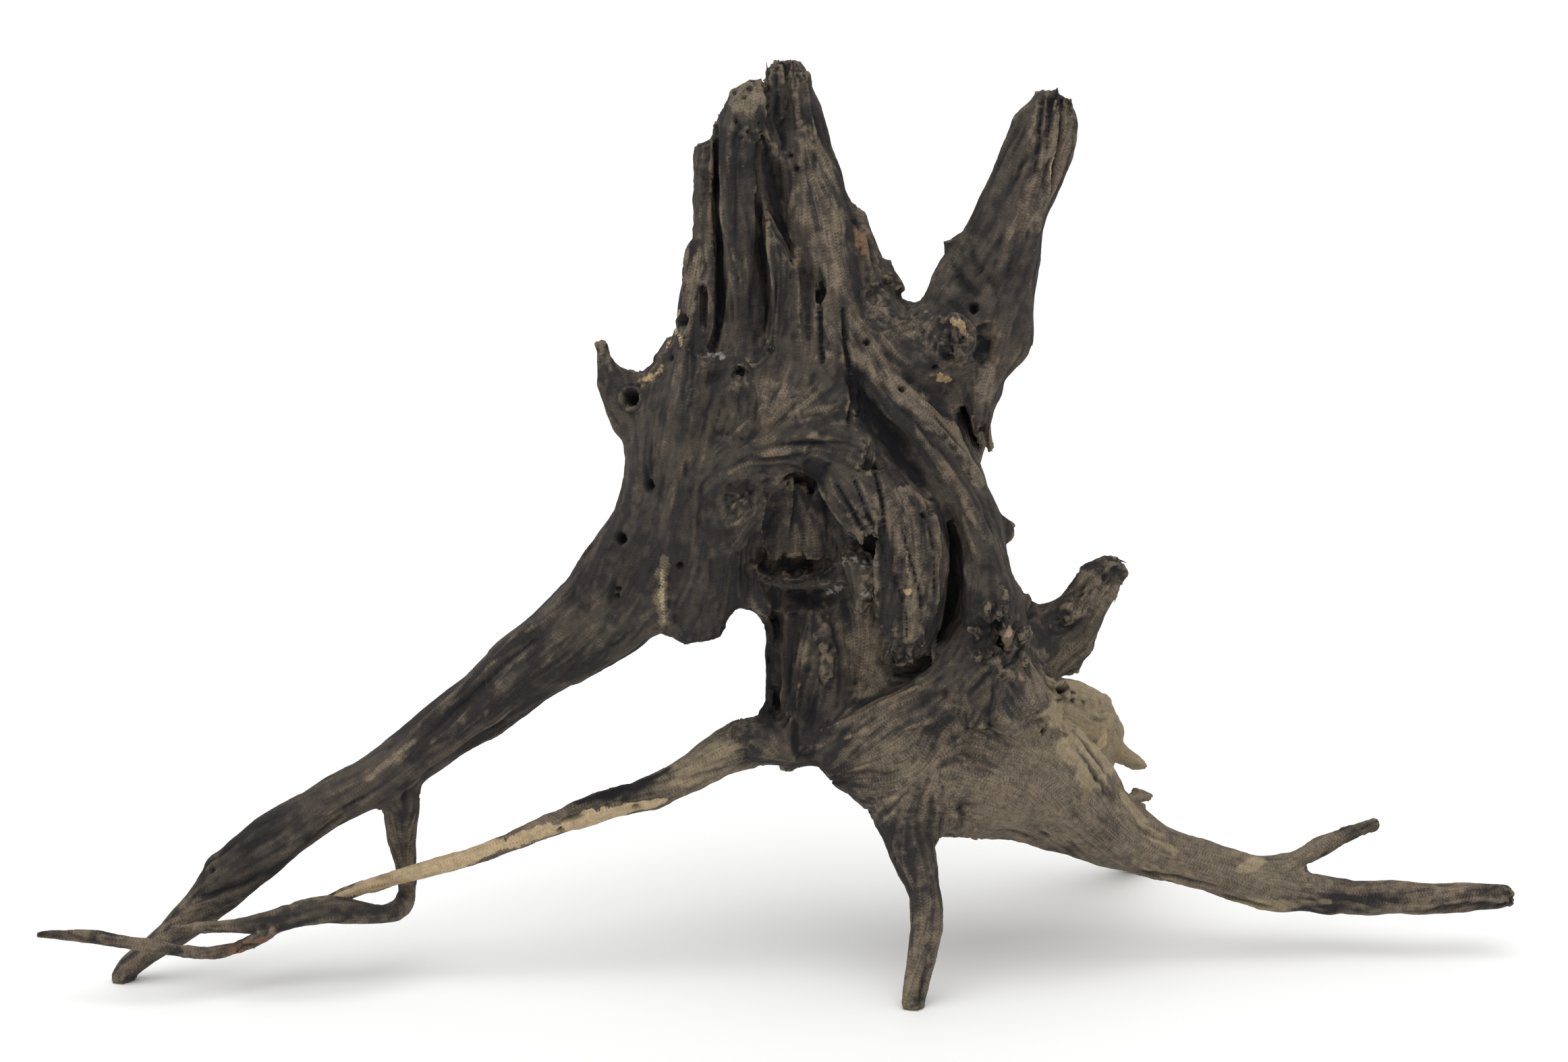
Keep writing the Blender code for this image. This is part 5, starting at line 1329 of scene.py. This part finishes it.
    def crack(self) -> None:
        """Opens drying cracks along the grain, of many lengths, all over the wood."""
        chance = np.random.default_rng(17)
        shortest, longer = self.crack_steps
        shallowest, deeper = self.crack_depth
        count = len(self.skin.points)
        lines: list[np.ndarray] = []
        depths: list[np.ndarray] = []
        passed = np.zeros(count)
        for start in chance.integers(0, count, self.crack_count):
            steps = int(shortest + longer * chance.random() ** 2)
            path = self.wander(int(start), steps, self.crack_step)
            passed[path] = 1
            line = self.skin.points[path]
            for _ in range(3):
                line[1:-1] = 0.25 * line[:-2] + 0.5 * line[1:-1] + 0.25 * line[2:]
            finer = np.linspace(0, len(line) - 1, 3 * len(line))
            columns = [np.interp(finer, np.arange(len(line)), line[:, k]) for k in range(3)]
            lines.append(np.stack(columns, axis=1))
            amount = (shallowest + deeper * chance.random()) * MM
            depths.append(amount * np.sin(np.linspace(0.1, math.pi - 0.1, len(finer))))
        places, depth = np.concatenate(lines), np.concatenate(depths)
        tree = KDTree(len(places))
        for i, place in enumerate(places):
            tree.insert(place, i)
        tree.balance()
        index = np.nonzero(self.skin.blurred(passed, 2) > 0)[0]
        fall = np.zeros(len(index))
        for i, place in enumerate(self.skin.points[index]):
            _, nearest, gap = tree.find(place)
            fall[i] = depth[nearest] * max(1 - gap / self.crack_width, 0)
        self.move(index, -fall)
        # Painted shade in the cracks: the deeper, the darker.
        self.add_tone(Tone.DARK, index, np.clip(fall / (0.75 * MM), 0, 0.8))

    def pit(self) -> None:
        """Sinks small borer holes all over the wood."""
        chance = np.random.default_rng(23)
        smallest, wider = self.pit_radius
        for start in chance.integers(0, len(self.skin.points), self.pit_count):
            place = self.skin.points[start : start + 1].copy()
            self.sink(place, smallest + wider * chance.random())

    def depth_of_fibres(self) -> np.ndarray:
        """How deeply the fibres stand out at each vertex, in millimetres, by where it is.

        Returns:
            One depth for each vertex.
        """
        points = self.skin.points
        depth = np.full(len(points), PLAIN_FIBRES)
        for place, reach, amount in DEEP_FIBRES:
            centre = np.array(VIEW.place(*place)[0])
            near = np.exp(-((np.linalg.norm(points - centre, axis=1) / (reach * MM)) ** 2) * 1.4)
            depth = np.maximum(depth, amount * near)
        thin = points[:, 0] < self.thin_side_fibres
        return np.where(thin, np.minimum(depth, THIN_FIBRES), depth)

    def flakes(self, wide: np.ndarray) -> np.ndarray:
        """The height of the broken, flaking wood at each vertex.

        Args:
            wide: The broad streaks.

        Returns:
            Heights in metres, in small steps.
        """
        fibres = self.broken_fibres.over(self.skin, self.grain)
        rough = 0.55 * fibres + 0.6 * self.crumbs.over(self.skin.points) + 0.4 * wide
        stepped = np.round(rough * 1.8) / 1.8
        return (0.75 * stepped + 0.25 * rough) * self.flake_height * self.tones[Tone.FLAKY.value]

    def carve_all(self) -> None:
        """Does the whole carving: strokes, folds, fibres, flakes, cracks and holes."""
        points, skin, grain = self.skin.points, self.skin, self.grain
        everyone = np.arange(len(points))
        for stroke in STROKES:
            self.carve(stroke)
        self.paint()
        depth = self.depth_of_fibres() * MM
        fold = self.folds.over(skin, grain)
        wide = self.wide_streaks.over(skin, grain)
        fine = self.fine_streaks.over(skin, grain)
        lumps = self.large_lumps.over(points) + 0.5 * self.small_lumps.over(points)
        thick = np.where(points[:, 0] < self.thin_side, 0.45, 1.0)
        height = depth * (0.7 * np.tanh(wide) + 0.6 * np.tanh(fine))
        height += (self.fold_height * np.tanh(fold) + self.lump_height * lumps) * thick + self.flakes(wide)
        gate = np.clip(0.25 + 1.5 * self.furrow_gate.over(points), 0, 1) * thick
        furrow = np.clip(1 - np.abs(self.furrows.over(skin, grain)) / 0.5, 0, 1) * gate
        furrow *= 1 - np.maximum(self.tones[Tone.OLIVE.value], 0.7 * self.tones[Tone.TAN.value])
        self.move(everyone, height - furrow * (self.furrow_depth + 0.7 * depth))
        # Painted shade in the furrows.
        self.add_tone(Tone.DARK, everyone, 0.5 * furrow)
        self.tones["streak"] = np.clip(0.5 + 0.2 * (wide + fine), 0, 1)
        # edge and form measure how far each vertex stands out of its smoothed surroundings; the shader
        # lightens the high places as wear and darkens the low ones as painted shade.
        small = skin.blurred(skin.points, self.edge_rounds)
        large = skin.blurred(small, self.form_rounds)
        for tone, smooth, full in (("edge", small, self.edge_height), ("form", large, self.form_height)):
            out = ((skin.points - smooth) * self.normals).sum(1)
            self.tones[tone] = np.clip(0.5 + out / full, 0, 1)
        self.crack()
        for hole in BORER_HOLES:
            self.drill(*hole)
        self.pit()

    def store(self) -> None:
        """Writes the carved points, the grain, the tones and the normals into the mesh."""
        normals = self.skin.normals()
        mesh = self.skin.obj.data
        for name, values in (("grain", self.grain), ("wood_normal", normals)):
            layer = mesh.attributes.new(name, "FLOAT_VECTOR", "POINT")
            layer.data.foreach_set("vector", values.astype(np.float32).ravel())
        for name, values in self.tones.items():
            layer = mesh.attributes.new(name, "FLOAT", "POINT")
            layer.data.foreach_set("value", values.astype(np.float32))


class Socket:
    """A node's output, with Python's operators for the sums that a shader needs."""

    def __init__(self, tree: "Shader", link: bpy.types.NodeSocket) -> None:
        """Wraps a socket.

        Args:
            tree: The shader that it belongs to.
            link: The output socket.
        """
        self.tree = tree
        self.link = link

    def _math(self, kind: str, first: Any, second: Any) -> "Socket":
        """Returns the result of a Math node on two values."""
        return self.tree.node("ShaderNodeMath", {"operation": kind}, {0: first, 1: second})

    def __add__(self, other: Any) -> "Socket":
        """Returns self + other."""
        return self._math("ADD", self, other)

    def __radd__(self, other: Any) -> "Socket":
        """Returns other + self."""
        return self._math("ADD", other, self)

    def __sub__(self, other: Any) -> "Socket":
        """Returns self - other."""
        return self._math("SUBTRACT", self, other)

    def __rsub__(self, other: Any) -> "Socket":
        """Returns other - self."""
        return self._math("SUBTRACT", other, self)

    def __mul__(self, other: Any) -> "Socket":
        """Returns self * other."""
        return self._math("MULTIPLY", self, other)

    def __rmul__(self, other: Any) -> "Socket":
        """Returns other * self."""
        return self._math("MULTIPLY", other, self)

    def clamp(self, low: float = 0.0, high: float = 1.0) -> "Socket":
        """Returns the value kept between two limits."""
        return self.tree.node("ShaderNodeClamp", {}, {"Value": self, "Min": low, "Max": high})


class Shader:
    """A material's node tree, with one method that makes any node."""

    def __init__(self, name: str) -> None:
        """Makes a material with a Principled shader.

        Args:
            name: The material's name.
        """
        self.material = bpy.data.materials.new(name)
        self.material.use_nodes = True
        self.nodes = self.material.node_tree.nodes
        self.links = self.material.node_tree.links
        self.principled = self.nodes["Principled BSDF"]

    def feed(self, socket: bpy.types.NodeSocket, value: Any) -> None:
        """Gives an input socket a link or a value.

        Args:
            socket: The input.
            value: A Socket, or a number, vector or colour.
        """
        if isinstance(value, Socket):
            self.links.new(value.link, socket)
        else:
            socket.default_value = value

    def node(self, kind: str, settings: dict[str, Any], inputs: dict[Any, Any], output: Any = 0) -> Socket:
        """Makes one node.

        Args:
            kind: The node's type.
            settings: The node's own settings.
            inputs: What goes into its sockets, by name or number.
            output: Which output is used, by name or number.

        Returns:
            The output.
        """
        made = self.nodes.new(kind)
        for key, value in settings.items():
            setattr(made, key, value)
        for key, value in inputs.items():
            self.feed(made.inputs[key], value)
        return Socket(self, made.outputs[output])

    def attribute(self, name: str, vector: bool = False) -> Socket:
        """Reads an attribute of the mesh.

        Args:
            name: The attribute's name.
            vector: Whether it is read as a vector.

        Returns:
            Its value.
        """
        wanted = "Vector" if vector else "Fac"
        return self.node("ShaderNodeAttribute", {"attribute_name": name}, {}, wanted)

    def noise(self, at: Socket, scale: float, detail: float = 2.0, roughness: float = 0.5) -> Socket:
        """Smooth noise.

        Args:
            at: Where it is read.
            scale: Lumps in a metre.
            detail: How many finer layers are added.
            roughness: How strong those are.

        Returns:
            A value of about 0 to 1.
        """
        inputs = {"Vector": at, "Scale": scale, "Detail": detail, "Roughness": roughness}
        return self.node("ShaderNodeTexNoise", {}, inputs, "Fac")

    def mix(self, share: Any, first: Any, second: Any, blend: str = "MIX") -> Socket:
        """Mixes two colours.

        Args:
            share: How much of the second.
            first: The first colour.
            second: The second colour.
            blend: How they are mixed.

        Returns:
            The colour.
        """
        settings = {"data_type": "RGBA", "blend_type": blend}
        return self.node("ShaderNodeMix", settings, {0: share, 6: first, 7: second}, 2)

    def rise(self, value: Socket, low: float, high: float) -> Socket:
        """Turns a value into a share: 0 under low, 1 over high, smooth between.

        Args:
            value: The value.
            low: Where the share leaves 0.
            high: Where it reaches 1.

        Returns:
            The share.
        """
        settings = {"interpolation_type": "SMOOTHSTEP"}
        return self.node("ShaderNodeMapRange", settings, {"Value": value, "From Min": low, "From Max": high})


Colour = tuple[float, float, float, float]


@dataclass(frozen=True)
class WoodFinish:
    """A weathered wood: its colours, and how its fibres show."""

    name: str
    # deep is the near-black of the painted shade in hollows, cracks and holes, and of the dark stains.
    deep: Colour = (0.0070, 0.0070, 0.0090, 1)
    dark: Colour = (0.0260, 0.0230, 0.0215, 1)
    base: Colour = (0.0650, 0.0530, 0.0425, 1)
    worn: Colour = (0.1720, 0.1340, 0.0910, 1)
    tan: Colour = (0.1900, 0.1500, 0.1050, 1)
    tan_dark: Colour = (0.0900, 0.0740, 0.0570, 1)
    olive: Colour = (0.2800, 0.2250, 0.1420, 1)
    bare_and_highlight: Colour = (0.4100, 0.3120, 0.1860, 1)
    crust: Colour = (0.4000, 0.2850, 0.1500, 1)
    powder: Colour = (0.2300, 0.2200, 0.2000, 1)
    reddish: Colour = (0.1900, 0.1050, 0.0640, 1)
    TURN: ClassVar[tuple[float, float, float]] = (0.7, 0.5, 0.3)
    fibre: float = 0.55 * MM
    fibre_reach: float = 3.0 * MM
    bump: float = 0.34 * MM
    specular: float = 0.22

    def fibres(
        self, shader: Shader, at: Socket, grain: Socket, size: float, reach: float, steps: int
    ) -> Socket:
        """Fine streaks along the grain: noise averaged over some places along it.

        Args:
            shader: The material.
            at: The place.
            grain: The way of the grain.
            size: A streak's width in metres.
            reach: Half its length in metres.
            steps: How many places are averaged.

        Returns:
            A value of about 0.2 to 0.8.
        """
        turned = [
            shader.node("ShaderNodeMapping", {"vector_type": kind}, {"Vector": value, "Rotation": self.TURN})
            for kind, value in (("POINT", at), ("VECTOR", grain))
        ]
        total: Socket | None = None
        for step in range(steps):
            shift = reach * (2 * step / (steps - 1) - 1)
            moved = shader.node(
                "ShaderNodeVectorMath",
                {"operation": "MULTIPLY_ADD"},
                {0: turned[1], 1: (shift, shift, shift), 2: turned[0]},
                "Vector",
            )
            found = shader.noise(moved, 1 / size, 1.0, 0.6)
            total = found if total is None else total + found
        return (total * (1 / steps) - 0.5) * (steps**0.5 * 0.9) + 0.5

    def material(self) -> bpy.types.Material:
        """Builds the material.

        Returns:
            The material, which reads the mesh's tones.
        """
        shader = Shader(self.name)
        at = shader.node("ShaderNodeTexCoord", {}, {}, "Object")
        grain = shader.attribute("grain", True)
        streak = shader.attribute("streak")
        edge = shader.attribute("edge")
        form = shader.attribute("form")
        fibres = self.fibres(shader, at, grain, self.fibre, self.fibre_reach, 7)
        broad = shader.noise(at, 34, 4, 0.62)
        blotch = shader.noise(at, 110, 4, 0.66)
        speck = shader.noise(at, 520, 3, 0.65)
        tan_share = shader.attribute(Tone.TAN.value)
        dim = shader.rise(broad * 0.6 + blotch * 0.5 + streak * 0.25, 0.56, 0.78)
        colour = shader.mix(dim, self.dark, self.base)
        mottle = blotch * 0.5 + fibres * 0.45 + speck * 0.25 + broad * 0.2
        tanned = tan_share * 1.2 + (broad - 0.5) * 0.4 + (mottle - 0.7) * 0.9 + (streak - 0.5) * 0.5
        tans = shader.mix(shader.rise(mottle, 0.48, 0.92), self.tan_dark, self.tan)
        colour = shader.mix(shader.rise(tanned, 0.2, 0.95), colour, tans)
        worn = edge * 1.3 + form * 0.5 + (fibres - 0.5) * 0.3 + (blotch - 0.5) * 1.2 + (broad - 0.5)
        worn = shader.rise(worn, 1.08, 1.5)
        flaky = shader.attribute(Tone.FLAKY.value)
        colour = shader.mix(worn * (0.8 - flaky * 0.5), colour, self.worn)
        crumbly = shader.rise(speck * 0.7 + blotch * 0.5 + (edge - 0.5) * 0.5, 0.56, 0.8) * flaky
        colour = shader.mix(crumbly * 0.6, colour, self.worn)
        olive = shader.attribute(Tone.OLIVE.value) + (broad - 0.5) * 0.8 + (streak - 0.5) * 0.3
        colour = shader.mix(shader.rise(olive, 0.22, 0.78) * 0.9, colour, self.olive)
        # The bare tone is pale bare wood, and in one small patch on the burl a painted highlight.
        bare_and_highlight = shader.attribute(Tone.BARE_AND_HIGHLIGHT.value) + (blotch - 0.5) * 0.7 + (fibres - 0.5) * 0.4
        bare_and_highlight = shader.rise(bare_and_highlight, 0.34, 0.6)
        colour = shader.mix(bare_and_highlight, colour, self.bare_and_highlight)
        red = shader.attribute(Tone.REDDISH.value) + (streak - 0.5) * 0.8 + (blotch - 0.5)
        colour = shader.mix(shader.rise(red, 0.35, 0.8) * 0.75, colour, self.reddish)
        crust = shader.rise(shader.attribute(Tone.CRUST.value) + (speck - 0.5) * 1.5, 0.4, 0.7)
        colour = shader.mix(crust * 0.8, colour, self.crust)
        powder = shader.rise(shader.attribute(Tone.POWDER.value) * 0.7 + (speck - 0.5) * 2.0, 0.42, 0.72)
        colour = shader.mix(powder * 0.85, colour, self.powder)
        tint = ((fibres - 0.5) * 0.9 + 1.0) * (shader.rise(speck, 0.25, 0.7) * 0.34 + 0.8)
        colour = shader.mix(1.0, colour, self.as_grey(shader, tint), "MULTIPLY")
        # Painted shade: the low, hollowed places, where edge and form are small, are darkened towards the
        # near-black deep colour.
        painted_hollow_shade = 1 - shader.rise(edge, 0.08, 0.46) * shader.rise(form, -0.1, 0.44)
        line = shader.rise(fibres, 0.33, 0.2) * 0.35
        # The dark tone is painted shade in cracks, clefts, furrows and holes, together with the wood's real
        # dark bark and stains.
        stain_and_crack_shade = shader.attribute(Tone.DARK.value) * 0.9
        # All the darkening together: painted shade in hollows and cracks, dark stains and dark fibre lines.
        painted_shade_and_stain = (painted_hollow_shade * (0.75 - tan_share * 0.3) + stain_and_crack_shade + line).clamp(0, 0.96)
        colour = shader.mix(painted_shade_and_stain, colour, self.deep)
        shader.feed(shader.principled.inputs["Base Color"], colour)
        shader.feed(shader.principled.inputs["Roughness"], (0.88 - worn * 0.12 - bare_and_highlight * 0.1).clamp(0.5, 1))
        relief = fibres * 0.8 + speck * 0.3 + blotch * 0.5
        bumped = shader.node(
            "ShaderNodeBump",
            {},
            {"Strength": 1.0, "Distance": self.bump, "Height": relief},
            "Normal",
        )
        shader.feed(shader.principled.inputs["Normal"], bumped)
        shader.principled.inputs["Specular IOR Level"].default_value = self.specular
        return shader.material

    def as_grey(self, shader: Shader, value: Socket) -> Socket:
        """Turns a value into a grey colour, which may be over 1.

        Args:
            shader: The material.
            value: The value.

        Returns:
            The colour.
        """
        return shader.node("ShaderNodeCombineColor", {}, {0: value, 1: value, 2: value})


@dataclass
class Splinters:
    """Small splinters that stand off the broken places of a piece."""

    piece: bmesh.types.BMesh
    share: float = 0.006
    most: int = 130
    length: tuple[float, float] = (1.2 * MM, 3.6 * MM)
    radius: tuple[float, float] = (0.22 * MM, 0.5 * MM)
    seed: int = 5

    def grow(self) -> None:
        """Adds the splinters to the piece."""
        chance = np.random.default_rng(self.seed)
        flaky = self.piece.verts.layers.float[Tone.FLAKY.value]
        broken = [vert for vert in self.piece.verts if vert[flaky] > 0.35]
        count = min(int(len(broken) * self.share), self.most)
        for pick in chance.integers(0, max(len(broken), 1), count):
            self.add(broken[pick], chance)

    def add(self, root: bmesh.types.BMVert, chance: np.random.Generator) -> None:
        """Adds one splinter, which leans along the grain.

        Args:
            root: The vertex that it stands on.
            chance: The source of its size and lean.
        """
        layers = self.piece.verts.layers
        grain, normal = layers.float_vector["grain"], layers.float_vector["wood_normal"]
        outward = Vector(root[normal])
        way = Vector(root[grain]) * chance.choice((-1, 1)) + outward * chance.uniform(0.1, 0.5)
        way = (way + Vector(chance.normal(0, 0.12, 3))).normalized()
        length, radius = chance.uniform(*self.length), chance.uniform(*self.radius)
        middle = root.co - outward * radius + way * length * 0.35
        turn = way.to_track_quat("Z", "Y").to_matrix().to_4x4()
        made = bmesh.ops.create_cone(
            self.piece,
            cap_ends=True,
            cap_tris=True,
            segments=5,
            radius1=radius,
            radius2=radius * 0.2,
            depth=length,
            matrix=Matrix.Translation(middle) @ turn,
        )["verts"]
        for vert in made:
            away = vert.co - middle
            vert[grain] = way
            vert[normal] = (away - way * away.dot(way)).normalized()
            for name in layers.float.keys():
                vert[layers.float[name]] = root[layers.float[name]]
            # A splinter stands clear, so it gets a little edge wear and none of the painted shade of hollows,
            # cracks and holes.
            vert[layers.float["edge"]] = 0.58
            vert[layers.float["form"]] = 0.5
            vert[layers.float[Tone.DARK.value]] = 0.0


@dataclass
class Driftwood:
    """The whole wood: blank, carving and parting."""

    nodes: dict[str, bpy.types.Object]
    voxel: float = 0.68 * MM
    cleft_voxel: float = 0.5 * MM
    facet_rounds: int = 26
    trunk_levels: tuple[float, ...] = (0.088, 0.140)

    def add_ribs(self, blank: bpy.types.Object) -> None:
        """Adds the splinters, corners and plates to the blank.

        Args:
            blank: The fused blank.
        """
        bm = bmesh.new()
        for stations in RIBS:
            loft_strand(bm, stations)
        ribs = object_from("ribs", bm)
        both = bmesh.new()
        both.from_mesh(blank.data)
        both.from_mesh(ribs.data)
        both.to_mesh(blank.data)
        both.free()
        bpy.data.objects.remove(ribs)
        fuse(blank, self.voxel)

    def slit(self, blank: bpy.types.Object) -> None:
        """Cuts the clefts and deep holes out of the blank.

        Args:
            blank: The fused blank.
        """
        bm = bmesh.new()
        for stations in CLEFTS:
            loft_strand(bm, stations)
        cutter = fuse(object_from("clefts", bm), self.cleft_voxel)
        modifier = blank.modifiers.new("slit", "BOOLEAN")
        modifier.operation = "DIFFERENCE"
        modifier.solver = "MANIFOLD"
        modifier.object = cutter
        settle(blank)
        bpy.data.objects.remove(cutter)

    def drop_crumbs(self, blank: bpy.types.Object) -> None:
        """Removes loose bodies, which the cuts leave.

        Args:
            blank: The cut blank.
        """
        bm = bmesh.new()
        bm.from_mesh(blank.data)
        left = set(bm.verts)
        bodies: list[list[bmesh.types.BMVert]] = []
        while left:
            body, edge_of = [], [left.pop()]
            while edge_of:
                vert = edge_of.pop()
                body.append(vert)
                for edge in vert.link_edges:
                    other = edge.other_vert(vert)
                    if other in left:
                        left.discard(other)
                        edge_of.append(other)
            bodies.append(body)
        bodies.sort(key=len)
        bmesh.ops.delete(bm, geom=[vert for body in bodies[:-1] for vert in body], context="VERTS")
        bm.to_mesh(blank.data)
        bm.free()

    def carve(self) -> bpy.types.Object:
        """Makes the blank and carves it.

        Returns:
            The carved wood as one skin with its attributes.
        """
        blank = Blank(self.nodes).build()
        first = Surface(blank)
        first.fair(self.facet_rounds)
        first.write()
        self.add_ribs(blank)
        self.slit(blank)
        fuse(blank, self.voxel)
        self.drop_crumbs(blank)
        carver = Carver(Surface(blank))
        carver.carve_all()
        carver.store()
        LOG.info("carved %d vertices", len(blank.data.vertices))
        return blank

    def part(self, wood: bpy.types.Object) -> list[tuple[str, bpy.types.Object]]:
        """Parts the carved wood at its forks.

        Args:
            wood: The carved wood.

        Returns:
            Closed pieces, each with the name of the node that it stands for.
        """
        bm = bmesh.new()
        bm.from_mesh(wood.data)
        bm.faces.ensure_lookup_table()
        centres = np.array([tuple(face.calc_center_median()) for face in bm.faces])
        faces = list(bm.faces)
        regions = []
        for fork in FORKS.values():
            away = np.linalg.norm(centres - np.array(fork.centre()), axis=1)
            regions.append([faces[i] for i in np.nonzero(away < fork.radius * MM)[0]])
        for fork, region in zip(FORKS.values(), regions):
            geom = set(region) | {vert for face in region for vert in face.verts}
            geom |= {edge for face in region for edge in face.edges}
            cut = bmesh.ops.bisect_plane(
                bm, geom=list(geom), dist=1e-7, plane_co=fork.centre(), plane_no=fork.axis()
            )
            for item in cut["geom_cut"]:
                if isinstance(item, bmesh.types.BMEdge):
                    item.seam = True
        labels = self.label(bm)
        pieces: list[tuple[str, bpy.types.Object]] = []
        for name in self.nodes:
            piece = bm.copy()
            piece.faces.ensure_lookup_table()
            others = [piece.faces[i] for i in np.nonzero(labels != name)[0]]
            bmesh.ops.delete(piece, geom=others, context="FACES")
            levels = self.trunk_levels if name == "trunk" else ()
            for number, layer in enumerate(self.layers(piece, levels)):
                title = f"{name}_wood_{number + 1}" if levels else f"{name}_wood"
                pieces.append((name, self.close(title, layer)))
        bm.free()
        bpy.data.objects.remove(wood)
        return pieces

    def layers(self, piece: bmesh.types.BMesh, levels: tuple[float, ...]) -> list[bmesh.types.BMesh]:
        """Parts a piece at some heights, so that each mesh stays light.

        Args:
            piece: The piece, which is used up.
            levels: The heights in metres, from the lowest.

        Returns:
            The layers, from the lowest.
        """
        found: list[bmesh.types.BMesh] = []
        for level in levels:
            below = piece.copy()
            for part, above in ((below, True), (piece, False)):
                bmesh.ops.bisect_plane(
                    part,
                    geom=[*part.verts, *part.edges, *part.faces],
                    dist=1e-7,
                    plane_co=(0, 0, level),
                    plane_no=(0, 0, 1),
                    clear_outer=above,
                    clear_inner=not above,
                )
            found.append(below)
        return [*found, piece]

    def close(self, name: str, piece: bmesh.types.BMesh) -> bpy.types.Object:
        """Closes a parted piece and makes it an object.

        Args:
            name: The object's name.
            piece: Its skin, open where it was parted.

        Returns:
            The closed piece, shaded as the whole wood was.
        """
        rim = [edge for edge in piece.edges if edge.is_boundary]
        bmesh.ops.holes_fill(piece, edges=rim)
        bmesh.ops.triangulate(piece, faces=[face for face in piece.faces if len(face.verts) > 4])
        Splinters(piece).grow()
        obj = object_from(name, piece)
        normals = np.empty(len(obj.data.vertices) * 3, np.float32)
        obj.data.attributes["wood_normal"].data.foreach_get("vector", normals)
        obj.data.shade_smooth()
        obj.data.normals_split_custom_set_from_vertices(normals.reshape(-1, 3))
        return obj

    def label(self, bm: bmesh.types.BMesh) -> np.ndarray:
        """Names each face after the node that it belongs to.

        Args:
            bm: The wood, with its forks marked as seams.

        Returns:
            A name for each face.
        """
        bm.faces.ensure_lookup_table()
        bm.faces.index_update()
        group = np.full(len(bm.faces), -1)
        bodies: list[np.ndarray] = []
        for start in bm.faces:
            if group[start.index] >= 0:
                continue
            number = len(bodies)
            group[start.index] = number
            found, queue = [], [start]
            while queue:
                face = queue.pop()
                found.append(tuple(face.verts[0].co))
                for edge in face.edges:
                    if edge.seam:
                        continue
                    for other in edge.link_faces:
                        if group[other.index] < 0:
                            group[other.index] = number
                            queue.append(other)
            bodies.append(np.array(found))
        LOG.info("parted into %d bodies", len(bodies))
        names = np.empty(len(bodies), object)
        for number, places in enumerate(bodies):
            names[number] = min(self.nodes, key=lambda name: self.distance_to(name, places))
        return names[group]

    def distance_to(self, name: str, places: np.ndarray) -> float:
        """How far a body's boundary box lies from a node's box.

        Args:
            name: The node.
            places: The body's points.

        Returns:
            The summed difference of the two boxes' corners, in metres.
        """
        low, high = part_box(name)
        below = np.abs(places.min(0) - np.array(low)).sum()
        return float(below + np.abs(places.max(0) - np.array(high)).sum())


@dataclass
class Studio:
    """The pale floor, the soft light and the camera."""

    floor_size: float = 26.0
    floor_roughness: float = 0.7
    floor_colour: Colour = (0.91, 0.91, 0.905, 1)
    sky: float = 0.78
    lamp_strength: float = 1.5
    lamp_angle: float = math.radians(60)
    lamp_way: tuple[float, float, float] = (0.12, 0.28, -1.0)

    def floor(self) -> bpy.types.Object:
        """Makes a plain pale floor.

        Returns:
            The floor, which is stage and not part of the wood.
        """
        bm = bmesh.new()
        bmesh.ops.create_grid(bm, x_segments=1, y_segments=1, size=self.floor_size / 2)
        floor = object_from("floor", bm)
        shader = Shader("pale_floor")
        shader.principled.inputs["Base Color"].default_value = self.floor_colour
        shader.principled.inputs["Roughness"].default_value = self.floor_roughness
        floor.data.materials.append(shader.material)
        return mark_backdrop(floor)

    def light(self) -> None:
        """Lights the scene evenly from all sides, and a little more from above and the front."""
        world = bpy.data.worlds.new("studio")
        world.use_nodes = True
        world.node_tree.nodes["Background"].inputs["Color"].default_value = (1.0, 1.0, 1.0, 1)
        world.node_tree.nodes["Background"].inputs["Strength"].default_value = self.sky
        bpy.context.scene.world = world
        data = bpy.data.lights.new("overhead", "SUN")
        data.angle = self.lamp_angle
        data.energy = self.lamp_strength
        lamp = bpy.data.objects.new("overhead", data)
        bpy.context.scene.collection.objects.link(lamp)
        lamp.rotation_euler = Vector(self.lamp_way).to_track_quat("-Z", "Y").to_euler()

    def camera(self) -> None:
        """Sets the camera at the photograph's angle."""
        data = bpy.data.cameras.new("front")
        data.sensor_width = VIEW.sensor
        data.lens = VIEW.sensor * VIEW.distance / VIEW.frame_width
        data.clip_start = 0.01
        camera = bpy.data.objects.new("front", data)
        bpy.context.scene.collection.objects.link(camera)
        camera.location = VIEW.eye()
        camera.rotation_euler = (math.radians(90) - VIEW.tilt, 0, 0)
        bpy.context.scene.camera = camera

    def build(self) -> None:
        """Builds the studio."""
        self.floor()
        self.light()
        self.camera()
        bpy.context.scene.view_settings.view_transform = "Standard"


def main() -> None:
    """Builds the scene and reports each piece."""
    logging.basicConfig(level=logging.INFO, format="%(name)s: %(message)s")
    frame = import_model()
    Studio().build()
    wood = Driftwood(frame["nodes"])
    pieces = wood.part(wood.carve())
    material = WoodFinish("weathered_wood").material()
    for name, piece in pieces:
        piece.data.materials.clear()
        piece.data.materials.append(material)
        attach(piece, BODY)
        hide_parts(name)
        LOG.info("%s: %d faces", piece.name, len(piece.data.polygons))


if __name__ == "__main__":
    main()
